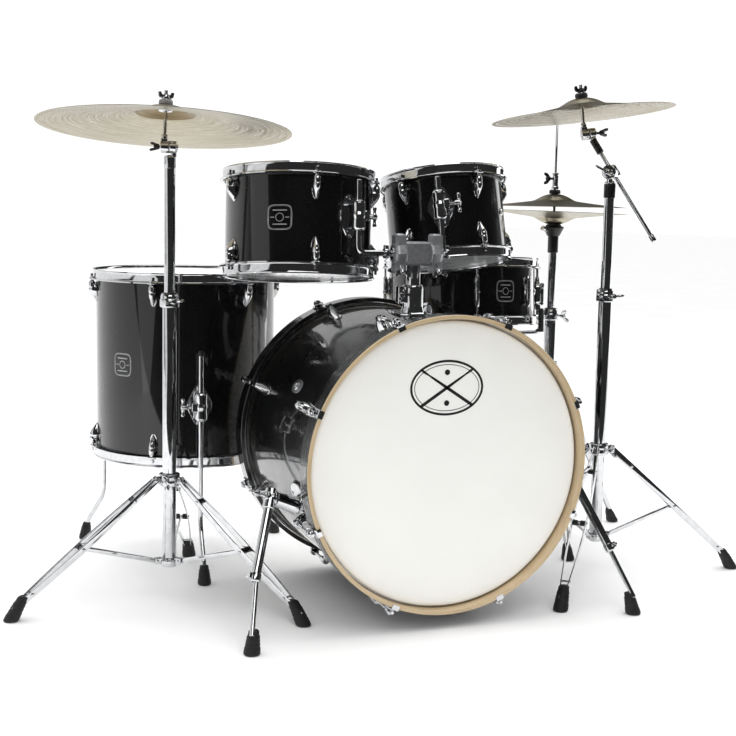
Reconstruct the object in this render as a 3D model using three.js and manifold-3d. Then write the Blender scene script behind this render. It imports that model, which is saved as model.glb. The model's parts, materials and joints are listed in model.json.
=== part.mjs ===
// Five-piece acoustic drum kit with hi-hat, ride and crash cymbals on chromed stands.
// Millimetres, +Z up. The bass drum's axis lies along Y and its front head faces -Y.
// Every moving piece sits in a pivot group, whose userData.axis is the direction it turns about or
// slides along. All pieces are closed solids that keep a small gap to their neighbours.
import * as THREE from 'three';
import { mergeVertices } from 'three/addons/utils/BufferGeometryUtils.js';
import Module from 'manifold-3d';

const wasm = await Module();
wasm.setup();

// ---------------------------------------------------------------- driving dimensions

const INCH = 25.4;
const GAP = 0.4;

const BASS = {
  radius: 11 * INCH, wall: 7, depth: 18 * INCH, length: 499.4, axisHeight: 322.6,
  hoopRadius: 295, hoopWidth: 44, lugs: 8, firstLug: 22.5, sides: 32,
};
const LEFT_TOM = { radius: 6 * INCH, wall: 6, depth: 8 * INCH, lugs: 5, firstLug: 193.1, sides: 18 };
const RIGHT_TOM = { radius: 5 * INCH, wall: 6, depth: 7 * INCH, lugs: 5, firstLug: 206.9, sides: 18 };
const FLOOR_TOM = { radius: 8 * INCH, wall: 6, depth: 16 * INCH, lugs: 6, firstLug: 236.9, sides: 18 };
const SNARE = { radius: 7 * INCH, wall: 6, depth: 5.5 * INCH, lugs: 8, firstLug: 255.8, sides: 18 };

// Places of the drums: middle of the top bearing edge, and the axis's lean in degrees toward +X and +Y.
const LEFT_TOM_TOP = { at: [-193.6, 383.8, 877.5], lean: [2.25, 6.6] };
const RIGHT_TOM_TOP = { at: [131.0, 375.4, 879.8], lean: [-2.14, 10.98] };
const FLOOR_TOM_TOP = { at: [-357.2, 714.2, 658.5], lean: [0, 0] };
const SNARE_TOP = { at: [314.1, 652.2, 686.2], lean: [0.45, 4.54] };

// The tom holder: a post in the top of the bass drum, and a clamp each side of it.
const HOLDER = { y: 200, postY: 214, height: 726, postRadius: 14.6, clampReach: 52 };
const ARM_RADIUS = 6.35;
const BRACKET_ANGLE = { left: 294, right: 241.8 };

const SPUR = { pivot: [312, 110, 252], foot: [405.6, -27.3, 0], upperLength: 165 };

// Floor-tom legs: world angle of each bracket, and how far the foot stands out from the rod.
const FLOOR_LEG = { angles: [265.3, 137, 25], rodReach: 21, footReach: 57, bendHeight: 118, top: 500 };

// Tube sizes shared by the stands.
const TUBE = { lower: 14.3, lowerBore: 11.6, upper: 11.1, upperBore: 9.2, sides: 8 };
const COLLAR = { radius: 22, height: 26, pivot: 31, lowerPivot: 28 };
const LEG = { reach: 331, strap: 3, gap: 6.4, width: 13, brace: 5, joint: 200, foldedAngle: 6, bow: 11 };

const RIDE = { at: [-474, 358], turn: -20.33, angles: [210, 330, 90], upper: 253, lower: 84, clamp: 627 };
const CRASH = { at: [494.4, 278.6], turn: -12.55, angles: [240, 0, 120], upper: 285, lower: 86, clamp: 637 };

const RIDE_CYMBAL = { radius: 10 * INCH, bell: 60, bow: 28, height: 47, rimAbovePivot: 36 };
const RIDE_TILTER = { height: 929, lean: [3.18, 5.36] };
const CRASH_CYMBAL = { radius: 8 * INCH, bell: 50, bow: 21, height: 38, rimAbovePivot: 42 };
const CRASH_TILTER = { lean: [-5.4, 3.93] };
const ROD_OFFSET = 11;

// The boom arm: its clamp on the stand, the plan direction it points along, its lean from upright,
// and how far it reaches above and below the clamp.
const BOOM = { height: 905, heading: 135, lean: 33.7, upper: 102, lower: 172, offset: 21, radius: 4.5 };

const HIHAT = {
  at: [549.7, 625.3], legAngles: [15, 135, 255], reach: 255, collar: 430, clamp: 567,
  seat: 777, bottomRim: 816, topRim: 828, rodTop: 1045, bottomTilt: 1.2, pedalLength: 290, pedalLift: 52,
};
const HAT_CYMBAL = { radius: 7 * INCH, bell: 48, bow: 14, height: 31 };
const SNARE_STAND = { legAngles: [90, 200, 330], reach: 205, collar: 225, tubeTop: 452 };

// ---------------------------------------------------------------- materials

function material(color, roughness, metalness) {
  return () => new THREE.MeshStandardMaterial({ color, roughness, metalness });
}
const blackWrap = material(0x0b0b0d, 0.18, 0.0);
const blackHoop = material(0x141414, 0.25, 0.0);
const chrome = material(0xc9ccd0, 0.12, 1.0);
const coatedHead = material(0xf0f0ec, 0.6, 0.0);
const bronze = material(0xcfc4a4, 0.3, 1.0);

// ---------------------------------------------------------------- building helpers

const radians = THREE.MathUtils.degToRad;

/** A manifold solid from a closed three.js geometry: shared vertices merged, flat slivers dropped. */
function toSolid(geometry) {
  const bare = geometry.clone();
  bare.deleteAttribute('normal');
  bare.deleteAttribute('uv');
  const merged = mergeVertices(bare, 1e-4);
  const index = merged.index.array;
  const corners = [];
  for (let i = 0; i < index.length; i += 3) {
    const [a, b, c] = [index[i], index[i + 1], index[i + 2]];
    if (a !== b && b !== c && a !== c) corners.push(a, b, c);
  }
  const vertProperties = new Float32Array(merged.attributes.position.array);
  const mesh = new wasm.Mesh({ numProp: 3, vertProperties, triVerts: new Uint32Array(corners) });
  return new wasm.Manifold(mesh);
}

function join(...solids) {
  return solids.reduce((whole, part) => whole.add(part));
}

/** The named mesh of one piece, hung on its parent group. */
function piece(name, solid, paint, parent) {
  const { vertProperties, triVerts } = solid.getMesh();
  const geometry = new THREE.BufferGeometry();
  geometry.setAttribute('position', new THREE.BufferAttribute(vertProperties, 3));
  geometry.setIndex(new THREE.BufferAttribute(triVerts, 1));
  geometry.computeVertexNormals();
  const mesh = new THREE.Mesh(geometry, paint());
  mesh.name = name;
  parent.add(mesh);
}

/** A group at a joint, unturned, that what moves hangs on. The position is in the kit's frame. */
function pivot(name, parent, position, axis) {
  const group = new THREE.Group();
  group.name = name;
  group.userData.axis = axis;
  group.userData.place = new THREE.Vector3(...position);
  group.position.copy(group.userData.place);
  if (parent.userData.place) group.position.sub(parent.userData.place);
  parent.add(group);
  return group;
}

/** A group at a place in the kit's frame, turned so that its Z is the given axis and X is as given. */
function framed(parent, position, zAxis, xAxis) {
  const group = new THREE.Group();
  group.position.set(...position);
  if (parent.userData.place) group.position.sub(parent.userData.place);
  const yAxis = zAxis.clone().cross(xAxis);
  group.quaternion.setFromRotationMatrix(new THREE.Matrix4().makeBasis(xAxis, yAxis, zAxis));
  parent.add(group);
  return group;
}

/** The upward unit vector that leans by these degrees toward +X and +Y. */
function leaning([towardX, towardY]) {
  const slope = new THREE.Vector3(Math.tan(radians(towardX)), Math.tan(radians(towardY)), 1);
  return slope.normalize();
}

/** The unit vector square to an axis that lies nearest to a wanted direction. */
function squareTo(axis, wanted) {
  return wanted.clone().addScaledVector(axis, -wanted.dot(axis)).normalize();
}

/** A round rod, or a cone, between two points. */
function rod(from, to, radius, sides = 8, endRadius = radius) {
  const start = new THREE.Vector3(...from);
  const end = new THREE.Vector3(...to);
  const geometry = new THREE.CylinderGeometry(endRadius, radius, start.distanceTo(end), sides);
  const turn = new THREE.Quaternion();
  turn.setFromUnitVectors(new THREE.Vector3(0, 1, 0), end.clone().sub(start).normalize());
  const middle = start.clone().add(end).multiplyScalar(0.5);
  geometry.applyMatrix4(new THREE.Matrix4().compose(middle, turn, new THREE.Vector3(1, 1, 1)));
  return toSolid(geometry);
}

/** Rods end to end through a list of points. */
function bentRod(points, radius, sides = 8) {
  return join(...points.slice(1).map((end, i) => rod(points[i], end, radius, sides)));
}

/** A body turned about Z from a closed outline of [radius, height] points. */
function turned(outline, sides) {
  let area = 0;
  outline.forEach(([r, z], i) => {
    const [nextR, nextZ] = outline[(i + 1) % outline.length];
    area += r * nextZ - nextR * z;
  });
  const loop = area > 0 ? outline : [...outline].reverse();
  const closed = [...loop, loop[0]];
  const geometry = new THREE.LatheGeometry(closed.map(([r, z]) => new THREE.Vector2(r, z)), sides);
  geometry.rotateX(Math.PI / 2);
  return toSolid(geometry);
}

/** An upright tube between two heights. */
function pipe(bottom, top, outer, inner, sides = TUBE.sides) {
  return turned([[inner, bottom], [outer, bottom], [outer, top], [inner, top]], sides);
}

/** A box of width X, depth Y and height Z about a centre, turned by an angle about the Z axis. */
function block(width, depth, height, [x, y, z], turn = 0) {
  const geometry = new THREE.BoxGeometry(width, depth, height);
  geometry.translate(x, y, z);
  geometry.rotateZ(radians(turn));
  return toSolid(geometry);
}

/** A flat bar between two points [x, z] of the plane y = side, bowed along Y by a half sine. */
function bar([x0, z0], [x1, z1], width, thickness, side, bow = 0) {
  const length = Math.hypot(x1 - x0, z1 - z0);
  const geometry = new THREE.BoxGeometry(length, thickness, width, bow === 0 ? 1 : 8);
  const corners = geometry.attributes.position;
  for (let i = 0; bow !== 0 && i < corners.count; i += 1) {
    const along = corners.getX(i) / length + 0.5;
    corners.setY(i, corners.getY(i) + bow * Math.sin(Math.PI * along));
  }
  geometry.rotateY(-Math.atan2(z1 - z0, x1 - x0));
  geometry.translate((x0 + x1) / 2, side, (z0 + z1) / 2);
  return toSolid(geometry);
}

/** A wing nut: two wings either side of a screw that runs along the given direction. */
function wingNut(from, to, spread = 15) {
  const start = new THREE.Vector3(...from);
  const end = new THREE.Vector3(...to);
  const screw = end.clone().sub(start).normalize();
  const across = squareTo(screw, new THREE.Vector3(0, 0, 1).applyAxisAngle(screw, radians(25)));
  const wings = end.clone().addScaledVector(across, -spread);
  const tip = end.clone().addScaledVector(across, spread);
  return join(rod(from, to, 4, 8), rod(wings.toArray(), tip.toArray(), 4, 6));
}

const kit = new THREE.Group();

// ---------------------------------------------------------------- drums

/** Places around a drum: count angles in degrees from the first. */
function around(count, first) {
  return Array.from({ length: count }, (_, i) => first + (360 / count) * i);
}

function shellSolid({ radius, wall, depth, sides }) {
  return pipe(-depth / 2, depth / 2, radius, radius - wall, sides);
}

/** A drum head: a flat skin whose collar hangs over the bearing edge. Side is +1 at the top. */
function headSolid({ radius, depth, sides }, side, rim = 3.4) {
  const edge = depth / 2;
  const outline = [
    [0, edge + 1.6], [radius + rim, edge + 1.6], [radius + rim, edge - 12],
    [radius + 1.4, edge - 12], [radius + 1.4, edge + GAP], [0, edge + GAP],
  ];
  return turned(outline.map(([r, z]) => [r, side * z]), sides);
}

/** A flanged steel hoop with its tension rods reaching toward the lugs. */
function hoopSolid({ radius, depth, lugs, firstLug, sides }, side, lugEnd) {
  const edge = depth / 2;
  const outline = [
    [radius + 4.2, edge - 14], [radius + 15, edge - 14], [radius + 15, edge - 11],
    [radius + 7, edge - 11], [radius + 7, edge + 12], [radius + 4.2, edge + 12],
  ];
  const rods = around(lugs, firstLug).map((angle) => {
    const x = (radius + 11) * Math.cos(radians(angle));
    const y = (radius + 11) * Math.sin(radians(angle));
    return rod([x, y, side * (lugEnd + GAP)], [x, y, side * (edge - 4)], 3, 4);
  });
  return join(turned(outline.map(([r, z]) => [r, side * z]), sides), ...rods);
}

/** Shell, two hoops and two heads of one drum in its own frame, with lug cases on the shell. */
function drum(name, size, group, extras = []) {
  const { radius, depth, lugs, firstLug } = size;
  const doubleEnded = depth < 150;
  const lugHeight = doubleEnded ? 76 : 46;
  const lugCentre = doubleEnded ? 0 : depth / 2 - 42;
  const rows = doubleEnded ? [0] : [-lugCentre, lugCentre];
  const cases = around(lugs, firstLug).flatMap((angle) => (
    rows.map((z) => block(22, doubleEnded ? 13 : 18, lugHeight, [radius + 7, 0, z], angle))
  ));
  const lugEnd = lugCentre + lugHeight / 2;
  piece(`${name}_shell`, join(shellSolid(size), ...cases, ...extras), blackWrap, group);
  piece(`${name}_top_hoop`, hoopSolid(size, 1, lugEnd), chrome, group);
  piece(`${name}_top_head`, headSolid(size, 1), coatedHead, group);
  const bottom = join(hoopSolid(size, -1, lugEnd), headSolid(size, -1, 5));
  piece(`${name}_bottom_hoop`, bottom, chrome, group);
}

/** The frame of a drum, its origin half way down the shell, from the middle of its top edge. */
function drumFrame(parent, { at, lean }, depth) {
  const axis = leaning(lean);
  const middle = new THREE.Vector3(...at).addScaledVector(axis, -depth / 2);
  return framed(parent, middle.toArray(), axis, squareTo(axis, new THREE.Vector3(1, 0, 0)));
}

// ---------------------------------------------------------------- bass drum

/** Wooden hoop with its claws and tension rods. Side is +1 at the front. */
function bassHoop(side, extras = []) {
  const face = BASS.length / 2;
  const back = face - BASS.hoopWidth;
  const claws = around(BASS.lugs, BASS.firstLug).flatMap((angle) => {
    const x = 299 * Math.cos(radians(angle));
    const y = 299 * Math.sin(radians(angle));
    return [
      block(14, 24, 34, [BASS.hoopRadius + 1, 0, side * (face - 14)], angle),
      rod([x, y, side * 168], [x, y, side * (face - 20)], 3.5, 4),
    ];
  });
  const inner = BASS.radius + 6.6;
  const outline = [[inner, back], [BASS.hoopRadius, back], [BASS.hoopRadius, face], [inner, face]];
  return join(turned(outline.map(([r, z]) => [r, side * z]), BASS.sides), ...claws, ...extras);
}

function bassHead(side, rim) {
  const edge = BASS.depth / 2;
  const outline = [
    [0, edge + 2], [rim, edge + 2], [rim, edge - 13],
    [BASS.radius + 1.4, edge - 13], [BASS.radius + 1.4, edge + GAP], [0, edge + GAP],
  ];
  return turned(outline.map(([r, z]) => [r, side * z]), BASS.sides);
}

function bassDrum() {
  const middle = [0, BASS.length / 2, BASS.axisHeight];
  const group = framed(kit, middle, new THREE.Vector3(0, -1, 0), new THREE.Vector3(1, 0, 0));
  const cases = around(BASS.lugs, BASS.firstLug).flatMap((angle) => (
    [-138, 138].map((z) => block(26, 22, 58, [BASS.radius + 9, 0, z], angle))
  ));
  const alongShell = BASS.length / 2 - HOLDER.postY;
  const baseTop = BASS.radius + 60;
  const base = [
    block(76, 12, 96, [0, BASS.radius + 2, alongShell]),
    rod([0, BASS.radius - 12, alongShell], [0, baseTop, alongShell], 22, 12),
  ];
  const brackets = [-1, 1].map((side) => {
    const [x, y, z] = SPUR.pivot;
    const across = side * (x - 25);
    return block(56, 40, 44, [across, z - BASS.axisHeight, BASS.length / 2 - y]);
  });
  const shell = join(shellSolid(BASS), ...cases, ...base, ...brackets);
  const bore = rod([0, BASS.radius - 40, alongShell], [0, baseTop + 10, alongShell], 15.4, 12);
  const cavity = BASS.radius - BASS.wall;
  const hollow = turned([[0, -200], [cavity, -200], [cavity, 200], [0, 200]], BASS.sides);
  piece('bass_shell', shell.subtract(hollow).subtract(bore), blackWrap, group);
  piece('bass_front_hoop', bassHoop(1), blackHoop, group);
  piece('bass_front_head', bassHead(1, BASS.radius + 5.8), coatedHead, group);
  piece('bass_rear_hoop', bassHoop(-1, [bassHead(-1, BASS.radius + 8)]), blackHoop, group);
}

/** A spur: a stout upper tube, a thinner rod and a rubber foot, swinging back along the shell. */
function spur(name, side) {
  const [px, py, pz] = SPUR.pivot;
  const top = new THREE.Vector3(side * px, py, pz);
  const foot = new THREE.Vector3(side * SPUR.foot[0], SPUR.foot[1], SPUR.foot[2]);
  const down = foot.clone().sub(top).normalize();
  const axis = down.clone().cross(new THREE.Vector3(0, 1, 0)).normalize();
  const group = pivot(`${name}_fold`, kit, top.toArray(), axis.toArray());
  const outward = axis.clone().multiplyScalar(side * Math.sign(axis.x));
  const start = outward.clone().multiplyScalar(21);
  const knee = start.clone().addScaledVector(down, SPUR.upperLength);
  const end = foot.clone().sub(top);
  end.z += 14;
  const solids = [
    rod(start.toArray(), knee.toArray(), 9.5, 10),
    rod(start.toArray(), end.toArray(), 5, 8),
    rod(outward.clone().multiplyScalar(10).toArray(), outward.clone().multiplyScalar(32).toArray(), 14, 8),
    rod([end.x, end.y, end.z + 26], [end.x, end.y, end.z - 14], 9, 10, 17),
  ];
  piece(name, join(...solids), chrome, group);
}

// ---------------------------------------------------------------- toms on their holder

/** A clamp block on a drum shell, bored for an upright rod at this reach from the drum's axis. */
function rodBracket(size, angle, reach, height, length) {
  const inner = size.radius - 2;
  const outer = reach + 15;
  const body = block(outer - inner, 34, length, [(outer + inner) / 2, 0, height], angle);
  const x = reach * Math.cos(radians(angle));
  const y = reach * Math.sin(radians(angle));
  const bore = (radius) => rod([x, y, height - length], [x, y, height + length], radius, 12);
  return { body, bore, x, y };
}

function tomPost() {
  const group = pivot('tom_post_height', kit, [0, HOLDER.postY, HOLDER.height], [0, 0, 1]);
  const crossY = HOLDER.y - HOLDER.postY;
  const solids = [
    rod([0, 0, -196], [0, 0, 0], HOLDER.postRadius, 12),
    block(64, 42, 50, [0, crossY / 2, 0]),
  ];
  let holder = join(...solids);
  for (const side of [-1, 1]) {
    holder = holder.add(rod([side * 26, crossY, 0], [side * HOLDER.clampReach, crossY, 0], 24, 10));
    holder = holder.add(block(20, 30, 80, [side * 40, crossY, 0]));
    holder = holder.subtract(rod([side * 30, crossY, 0], [side * 70, crossY, 0], ARM_RADIUS + 1, 8));
  }
  piece('tom_post', holder, chrome, group);
  return group;
}

/** A rack tom on its L-shaped arm, which turns in the holder's clamp. */
function rackTom(name, size, place, post, side, angle) {
  const clampAt = [side * 45, HOLDER.y, HOLDER.height];
  const arm = pivot(`${name}_arm_tilt`, post, clampAt, [1, 0, 0]);
  const slide = pivot(`${name}_slide`, arm, clampAt, leaning(place.lean).toArray());
  const frame = drumFrame(slide, place, size.depth);
  frame.updateMatrix();
  // The rod's reach is where its line down from the bracket meets the clamp's own axis.
  const axis = leaning(place.lean);
  const centre = new THREE.Vector3(...place.at).addScaledVector(axis, -size.depth / 2);
  let reach = size.radius + 22;
  const toKit = new THREE.Matrix4().compose(centre, frame.quaternion, new THREE.Vector3(1, 1, 1));
  const onRod = (radius, height) => {
    const x = radius * Math.cos(radians(angle));
    const y = radius * Math.sin(radians(angle));
    return new THREE.Vector3(x, y, height).applyMatrix4(toKit);
  };
  const dropTo = (radius) => (HOLDER.height - onRod(radius, 0).z) / axis.z;
  for (let i = 0; i < 12; i += 1) reach += (onRod(reach, dropTo(reach)).y - HOLDER.y) * 0.9;
  const elbow = onRod(reach, dropTo(reach));
  const bracket = rodBracket(size, angle, reach, 8, 60);
  const rodTop = onRod(reach, size.depth / 2 - 22);
  const toArm = (point) => point.clone().sub(arm.userData.place).toArray();
  const inClamp = new THREE.Vector3(side * 31, HOLDER.y, HOLDER.height);
  const outOfClamp = new THREE.Vector3(side * (HOLDER.clampReach + 8), HOLDER.y, HOLDER.height);
  const route = [inClamp, outOfClamp, elbow, rodTop];
  const armSolid = bentRod(route.map(toArm), ARM_RADIUS, 8);
  piece(`${name}_arm`, armSolid, chrome, arm);
  drum(name, size, frame, [bracket.body.subtract(bracket.bore(7.0))]);
}

// ---------------------------------------------------------------- floor tom

function floorTom() {
  const frame = drumFrame(kit, FLOOR_TOM_TOP, FLOOR_TOM.depth);
  const middle = FLOOR_TOM_TOP.at[2] - FLOOR_TOM.depth / 2;
  const reach = FLOOR_TOM.radius + FLOOR_LEG.rodReach;
  const brackets = FLOOR_LEG.angles.map((angle) => rodBracket(FLOOR_TOM, angle, reach, -75, 62));
  const cleared = brackets.map(({ body, bore }) => body.subtract(bore(6.2)));
  drum('floor_tom', FLOOR_TOM, frame, cleared);
  FLOOR_LEG.angles.forEach((angle, i) => {
    const name = ['floor_tom_front_leg', 'floor_tom_left_leg', 'floor_tom_right_leg'][i];
    const x = FLOOR_TOM_TOP.at[0] + brackets[i].x;
    const y = FLOOR_TOM_TOP.at[1] + brackets[i].y;
    const group = pivot(`${name}_slide`, kit, [x, y, middle - 75], [0, 0, 1]);
    const out = [Math.cos(radians(angle)), Math.sin(radians(angle))];
    const floor = -(middle - 75);
    const footX = FLOOR_LEG.footReach * out[0];
    const footY = FLOOR_LEG.footReach * out[1];
    const bends = [
      [0, 0, FLOOR_LEG.top - middle + 75], [0, 0, floor + FLOOR_LEG.bendHeight],
      [footX * 0.86, footY * 0.86, floor + 44], [footX, footY, floor + 12],
    ];
    const foot = rod([footX, footY, floor], [footX, footY, floor + 40], 16, 8, 11);
    piece(name, join(bentRod(bends, 5.5, 8), foot), chrome, group);
  });
}

// ---------------------------------------------------------------- snare drum and its stand

/** A plain tripod in one piece: three splayed legs from a collar, with feet on the floor. */
function fixedTripod(angles, reach, collar, low) {
  const bore = TUBE.lowerBore + 1;
  const solids = [pipe(collar - 14, collar + 14, 22, bore), pipe(low - 6, low + 6, 24, bore)];
  for (const angle of angles) {
    const c = Math.cos(radians(angle));
    const s = Math.sin(radians(angle));
    const at = (r, z) => [r * c, r * s, z];
    const mid = 0.52;
    const midR = 18 + (reach - 18) * mid;
    const midZ = collar + (14 - collar) * mid;
    solids.push(rod(at(18, collar), at(reach, 14), 5.5, 5));
    solids.push(rod(at(20, low), at(midR, midZ), 3.5, 4));
    solids.push(rod(at(reach, 0), at(reach, 34), 16, 10, 10));
  }
  return solids;
}

function snareOnStand() {
  const { at, lean } = SNARE_TOP;
  const axis = leaning(lean);
  const joint = new THREE.Vector3(...at).addScaledVector(axis, -SNARE.depth - 46);
  const tilt = pivot('snare_basket_tilt', kit, joint.toArray(), [1, 0, 0]);
  const frame = drumFrame(tilt, SNARE_TOP, SNARE.depth);
  const bottom = -SNARE.depth / 2;
  const leverAngle = 340;
  const lug = block(16, 30, 58, [SNARE.radius + 5, 0, -6], leverAngle);
  drum('snare', SNARE, frame, [lug]);

  const leverReach = SNARE.radius + 17;
  const leverX = leverReach * Math.cos(radians(leverAngle));
  const leverY = leverReach * Math.sin(radians(leverAngle));
  const middle = new THREE.Vector3(...at).addScaledVector(axis, -SNARE.depth / 2);
  const leverPlace = new THREE.Vector3(leverX, leverY, -28);
  leverPlace.applyQuaternion(frame.quaternion).add(middle);
  const leverRadians = radians(leverAngle);
  const sideways = new THREE.Vector3(-Math.sin(leverRadians), Math.cos(leverRadians), 0);
  const lever = pivot('snare_throw_off', tilt, leverPlace.toArray(), sideways.toArray());
  const leverTurn = new THREE.Group();
  leverTurn.rotation.z = radians(leverAngle);
  lever.add(leverTurn);
  const handle = join(block(7, 22, 50, [1, 0, 25]), rod([0, -12, 0], [0, 12, 0], 4, 8));
  piece('snare_strainer_lever', handle, chrome, leverTurn);

  const hoopFoot = bottom - 12;
  const solids = [rod([0, 0, bottom - 46], [0, 0, bottom - 22], 10, 10)];
  for (const angle of [75, 195, 315]) {
    const c = Math.cos(radians(angle));
    const s = Math.sin(radians(angle));
    const out = SNARE.radius + 23;
    solids.push(rod([0, 0, bottom - 27], [out * c, out * s, hoopFoot - 10], 5, 8));
    solids.push(rod([out * c, out * s, hoopFoot - 15], [out * c, out * s, hoopFoot + 42], 6.5, 8));
  }
  solids.push(rod([-11, 0, bottom - 46], [11, 0, bottom - 46], 12, 12));
  piece('snare_basket', join(...solids), chrome, frame);

  const stand = new THREE.Group();
  stand.position.set(joint.x, joint.y, 0);
  kit.add(stand);
  const neck = joint.z - 14;
  const cheeks = [-1, 1].map((side) => block(5, 26, 28, [side * 14.5, 0, neck + 6]));
  const base = [
    pipe(76, SNARE_STAND.tubeTop, TUBE.lower, TUBE.lowerBore - 2),
    pipe(SNARE_STAND.tubeTop - 22, neck - 6, 11, 8),
    pipe(SNARE_STAND.tubeTop - 26, SNARE_STAND.tubeTop, 20, 9.4),
    pipe(neck - 14, neck - 6, 17, 7),
    ...cheeks,
    ...fixedTripod(SNARE_STAND.legAngles, SNARE_STAND.reach, SNARE_STAND.collar, 84),
  ];
  piece('snare_stand', join(...base), chrome, stand);
}

// ---------------------------------------------------------------- folding tripod

/**
 * One leg's geometry in its own plane. The leg hangs from the sliding collar, and the brace ties
 * it to the fixed lower collar. Folded, the leg is nearly upright and the collar has slid up until
 * the brace, at its own length, meets the leg again.
 */
function tripodMotion({ upper, lower }) {
  const foot = [LEG.reach, 18];
  const across = foot[0] - COLLAR.pivot;
  const fall = upper - foot[1];
  const length = Math.hypot(across, fall);
  const open = Math.atan2(across, fall);
  const shut = radians(LEG.foldedAngle);
  const tie = [COLLAR.pivot + LEG.joint * Math.sin(open), upper - LEG.joint * Math.cos(open)];
  const braceLength = Math.hypot(tie[0] - COLLAR.lowerPivot, tie[1] - lower);
  const shutAcross = COLLAR.pivot + LEG.joint * Math.sin(shut) - COLLAR.lowerPivot;
  const shutRise = Math.sqrt(braceLength ** 2 - shutAcross ** 2);
  const travel = lower + shutRise + LEG.joint * Math.cos(shut) - upper;
  const legTurn = open - shut;
  const braceTurn = Math.atan2(shutRise, shutAcross) - Math.atan2(tie[1] - lower, tie[0] - COLLAR.lowerPivot);
  return { foot, length, open, tie, travel, legTurn, braceTurn };
}

/** Lower tube, sliding collar, three legs and three braces of one stand. */
function foldingTripod(name, stand) {
  const { at: [x, y], turn, angles, upper, lower, clamp } = stand;
  const motion = tripodMotion(stand);
  const headings = angles.map((angle) => angle + turn);
  const place = new THREE.Group();
  place.position.set(x, y, 0);
  kit.add(place);

  const forks = headings.flatMap((heading) => [-1, 1].map((side) => (
    block(16, 3, 12, [COLLAR.lowerPivot - 3, side * 4.8, lower], heading)
  )));
  const base = [
    pipe(lower - 14, clamp, TUBE.lower, TUBE.lowerBore),
    pipe(lower - 9, lower + 3, 21.5, TUBE.lowerBore + 1),
    pipe(clamp - 20, clamp + 8, 20, TUBE.lowerBore),
    block(14, 22, 26, [-24, 0, clamp - 6], 160),
    wingNut([0, -18, clamp - 6], [0, -40, clamp - 6]),
    ...forks,
  ];
  piece(`${name}_lower_tube`, join(...base), chrome, place);

  const collar = pivot(`${name}_tripod_fold`, kit, [x, y, upper], [0, 0, 1]);
  collar.userData.travel = motion.travel;
  collar.userData.legTurn = motion.legTurn;
  collar.userData.braceTurn = motion.braceTurn;
  const ears = headings.map((heading) => block(20, 5, 15, [COLLAR.pivot - 4, 0, 0], heading));
  const ring = pipe(-COLLAR.height / 2, COLLAR.height / 2, COLLAR.radius, TUBE.lower + 0.6);
  const screwTurn = radians(headings[0] + 60);
  const screw = (r) => [r * Math.cos(screwTurn), r * Math.sin(screwTurn), 0];
  piece(`${name}_leg_collar`, join(ring, ...ears, wingNut(screw(19), screw(36), 12)), chrome, collar);

  headings.forEach((heading, i) => {
    const c = Math.cos(radians(heading));
    const s = Math.sin(radians(heading));
    const label = i + 1;
    const hipAt = [x + COLLAR.pivot * c, y + COLLAR.pivot * s, upper];
    const hip = pivot(`${name}_leg_${label}_hinge`, collar, hipAt, [-s, c, 0]);
    const legFrame = new THREE.Group();
    legFrame.rotation.z = radians(heading);
    hip.add(legFrame);
    const along = (d) => [d * Math.sin(motion.open), -d * Math.cos(motion.open)];
    const side = LEG.gap / 2 + LEG.strap / 2;
    const footAt = [motion.foot[0] - COLLAR.pivot, 0, -upper];
    const straps = [-1, 1].map((k) => (
      bar(along(-6), along(motion.length), LEG.width, LEG.strap, k * side, k * LEG.bow)
    ));
    const spacer = LEG.gap + 1 + 2 * LEG.bow * Math.sin(Math.PI * 66 / (motion.length + 6));
    const leg = join(
      ...straps,
      bar(along(54), along(66), LEG.width, spacer, 0),
      bar(along(motion.length - 40), along(motion.length), LEG.width, LEG.gap + 1, 0),
      rod(footAt, [footAt[0], 0, footAt[2] + 42], 17, 8, 11),
    );
    piece(`${name}_leg_${label}`, leg, chrome, legFrame);

    const ankle = pivot(`${name}_brace_${label}_hinge`, kit,
      [x + COLLAR.lowerPivot * c, y + COLLAR.lowerPivot * s, lower], [s, -c, 0]);
    const braceFrame = new THREE.Group();
    braceFrame.rotation.z = radians(heading);
    ankle.add(braceFrame);
    const tieAt = [motion.tie[0] - COLLAR.lowerPivot, motion.tie[1] - lower];
    piece(`${name}_brace_${label}`, bar([0, 0], tieAt, 10, LEG.brace, 0), chrome, braceFrame);
  });
}

// ---------------------------------------------------------------- cymbals and tilters

/** A cymbal turned about Z with its rim at z = 0: bell, bow and a thin edge. */
function cymbalSolid({ radius, bell, bow, height }, thickness = 1.8) {
  const top = [
    [6.5, height], [bell * 0.55, bow + (height - bow) * 0.78], [bell, bow],
    [radius * 0.62, bow * 0.58], [radius, thickness],
  ];
  const under = [...top].reverse().map(([r, z]) => [r, z - thickness]);
  return turned([...top, ...under], 18);
}

/** The rod side of a ratchet tilter, with the felts and wing nut that hold the cymbal. */
function tilterSolid({ rimAbovePivot, height }) {
  const bell = rimAbovePivot + height;
  const x = -ROD_OFFSET;
  return join(
    rod([-18, 0, 0], [-GAP / 2, 0, 0], 12.5, 8),
    rod([-30, 0, 0], [-17, 0, 0], 4, 8),
    rod([x, 0, 0], [x, 0, bell + 30], 4, 8),
    rod([x, 0, bell - 11], [x, 0, bell - 5.2], 15, 8),
    rod([x, 0, bell + 0.6], [x, 0, bell + 13], 15, 8),
    rod([x - 14, 0, bell + 24], [x + 14, 0, bell + 24], 4.5, 6),
  );
}

/** The fixed half of the tilter, on the end of whatever carries it. */
function tilterSeat() {
  return rod([GAP / 2, 0, 0], [14, 0, 0], 12.5, 8);
}

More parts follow.
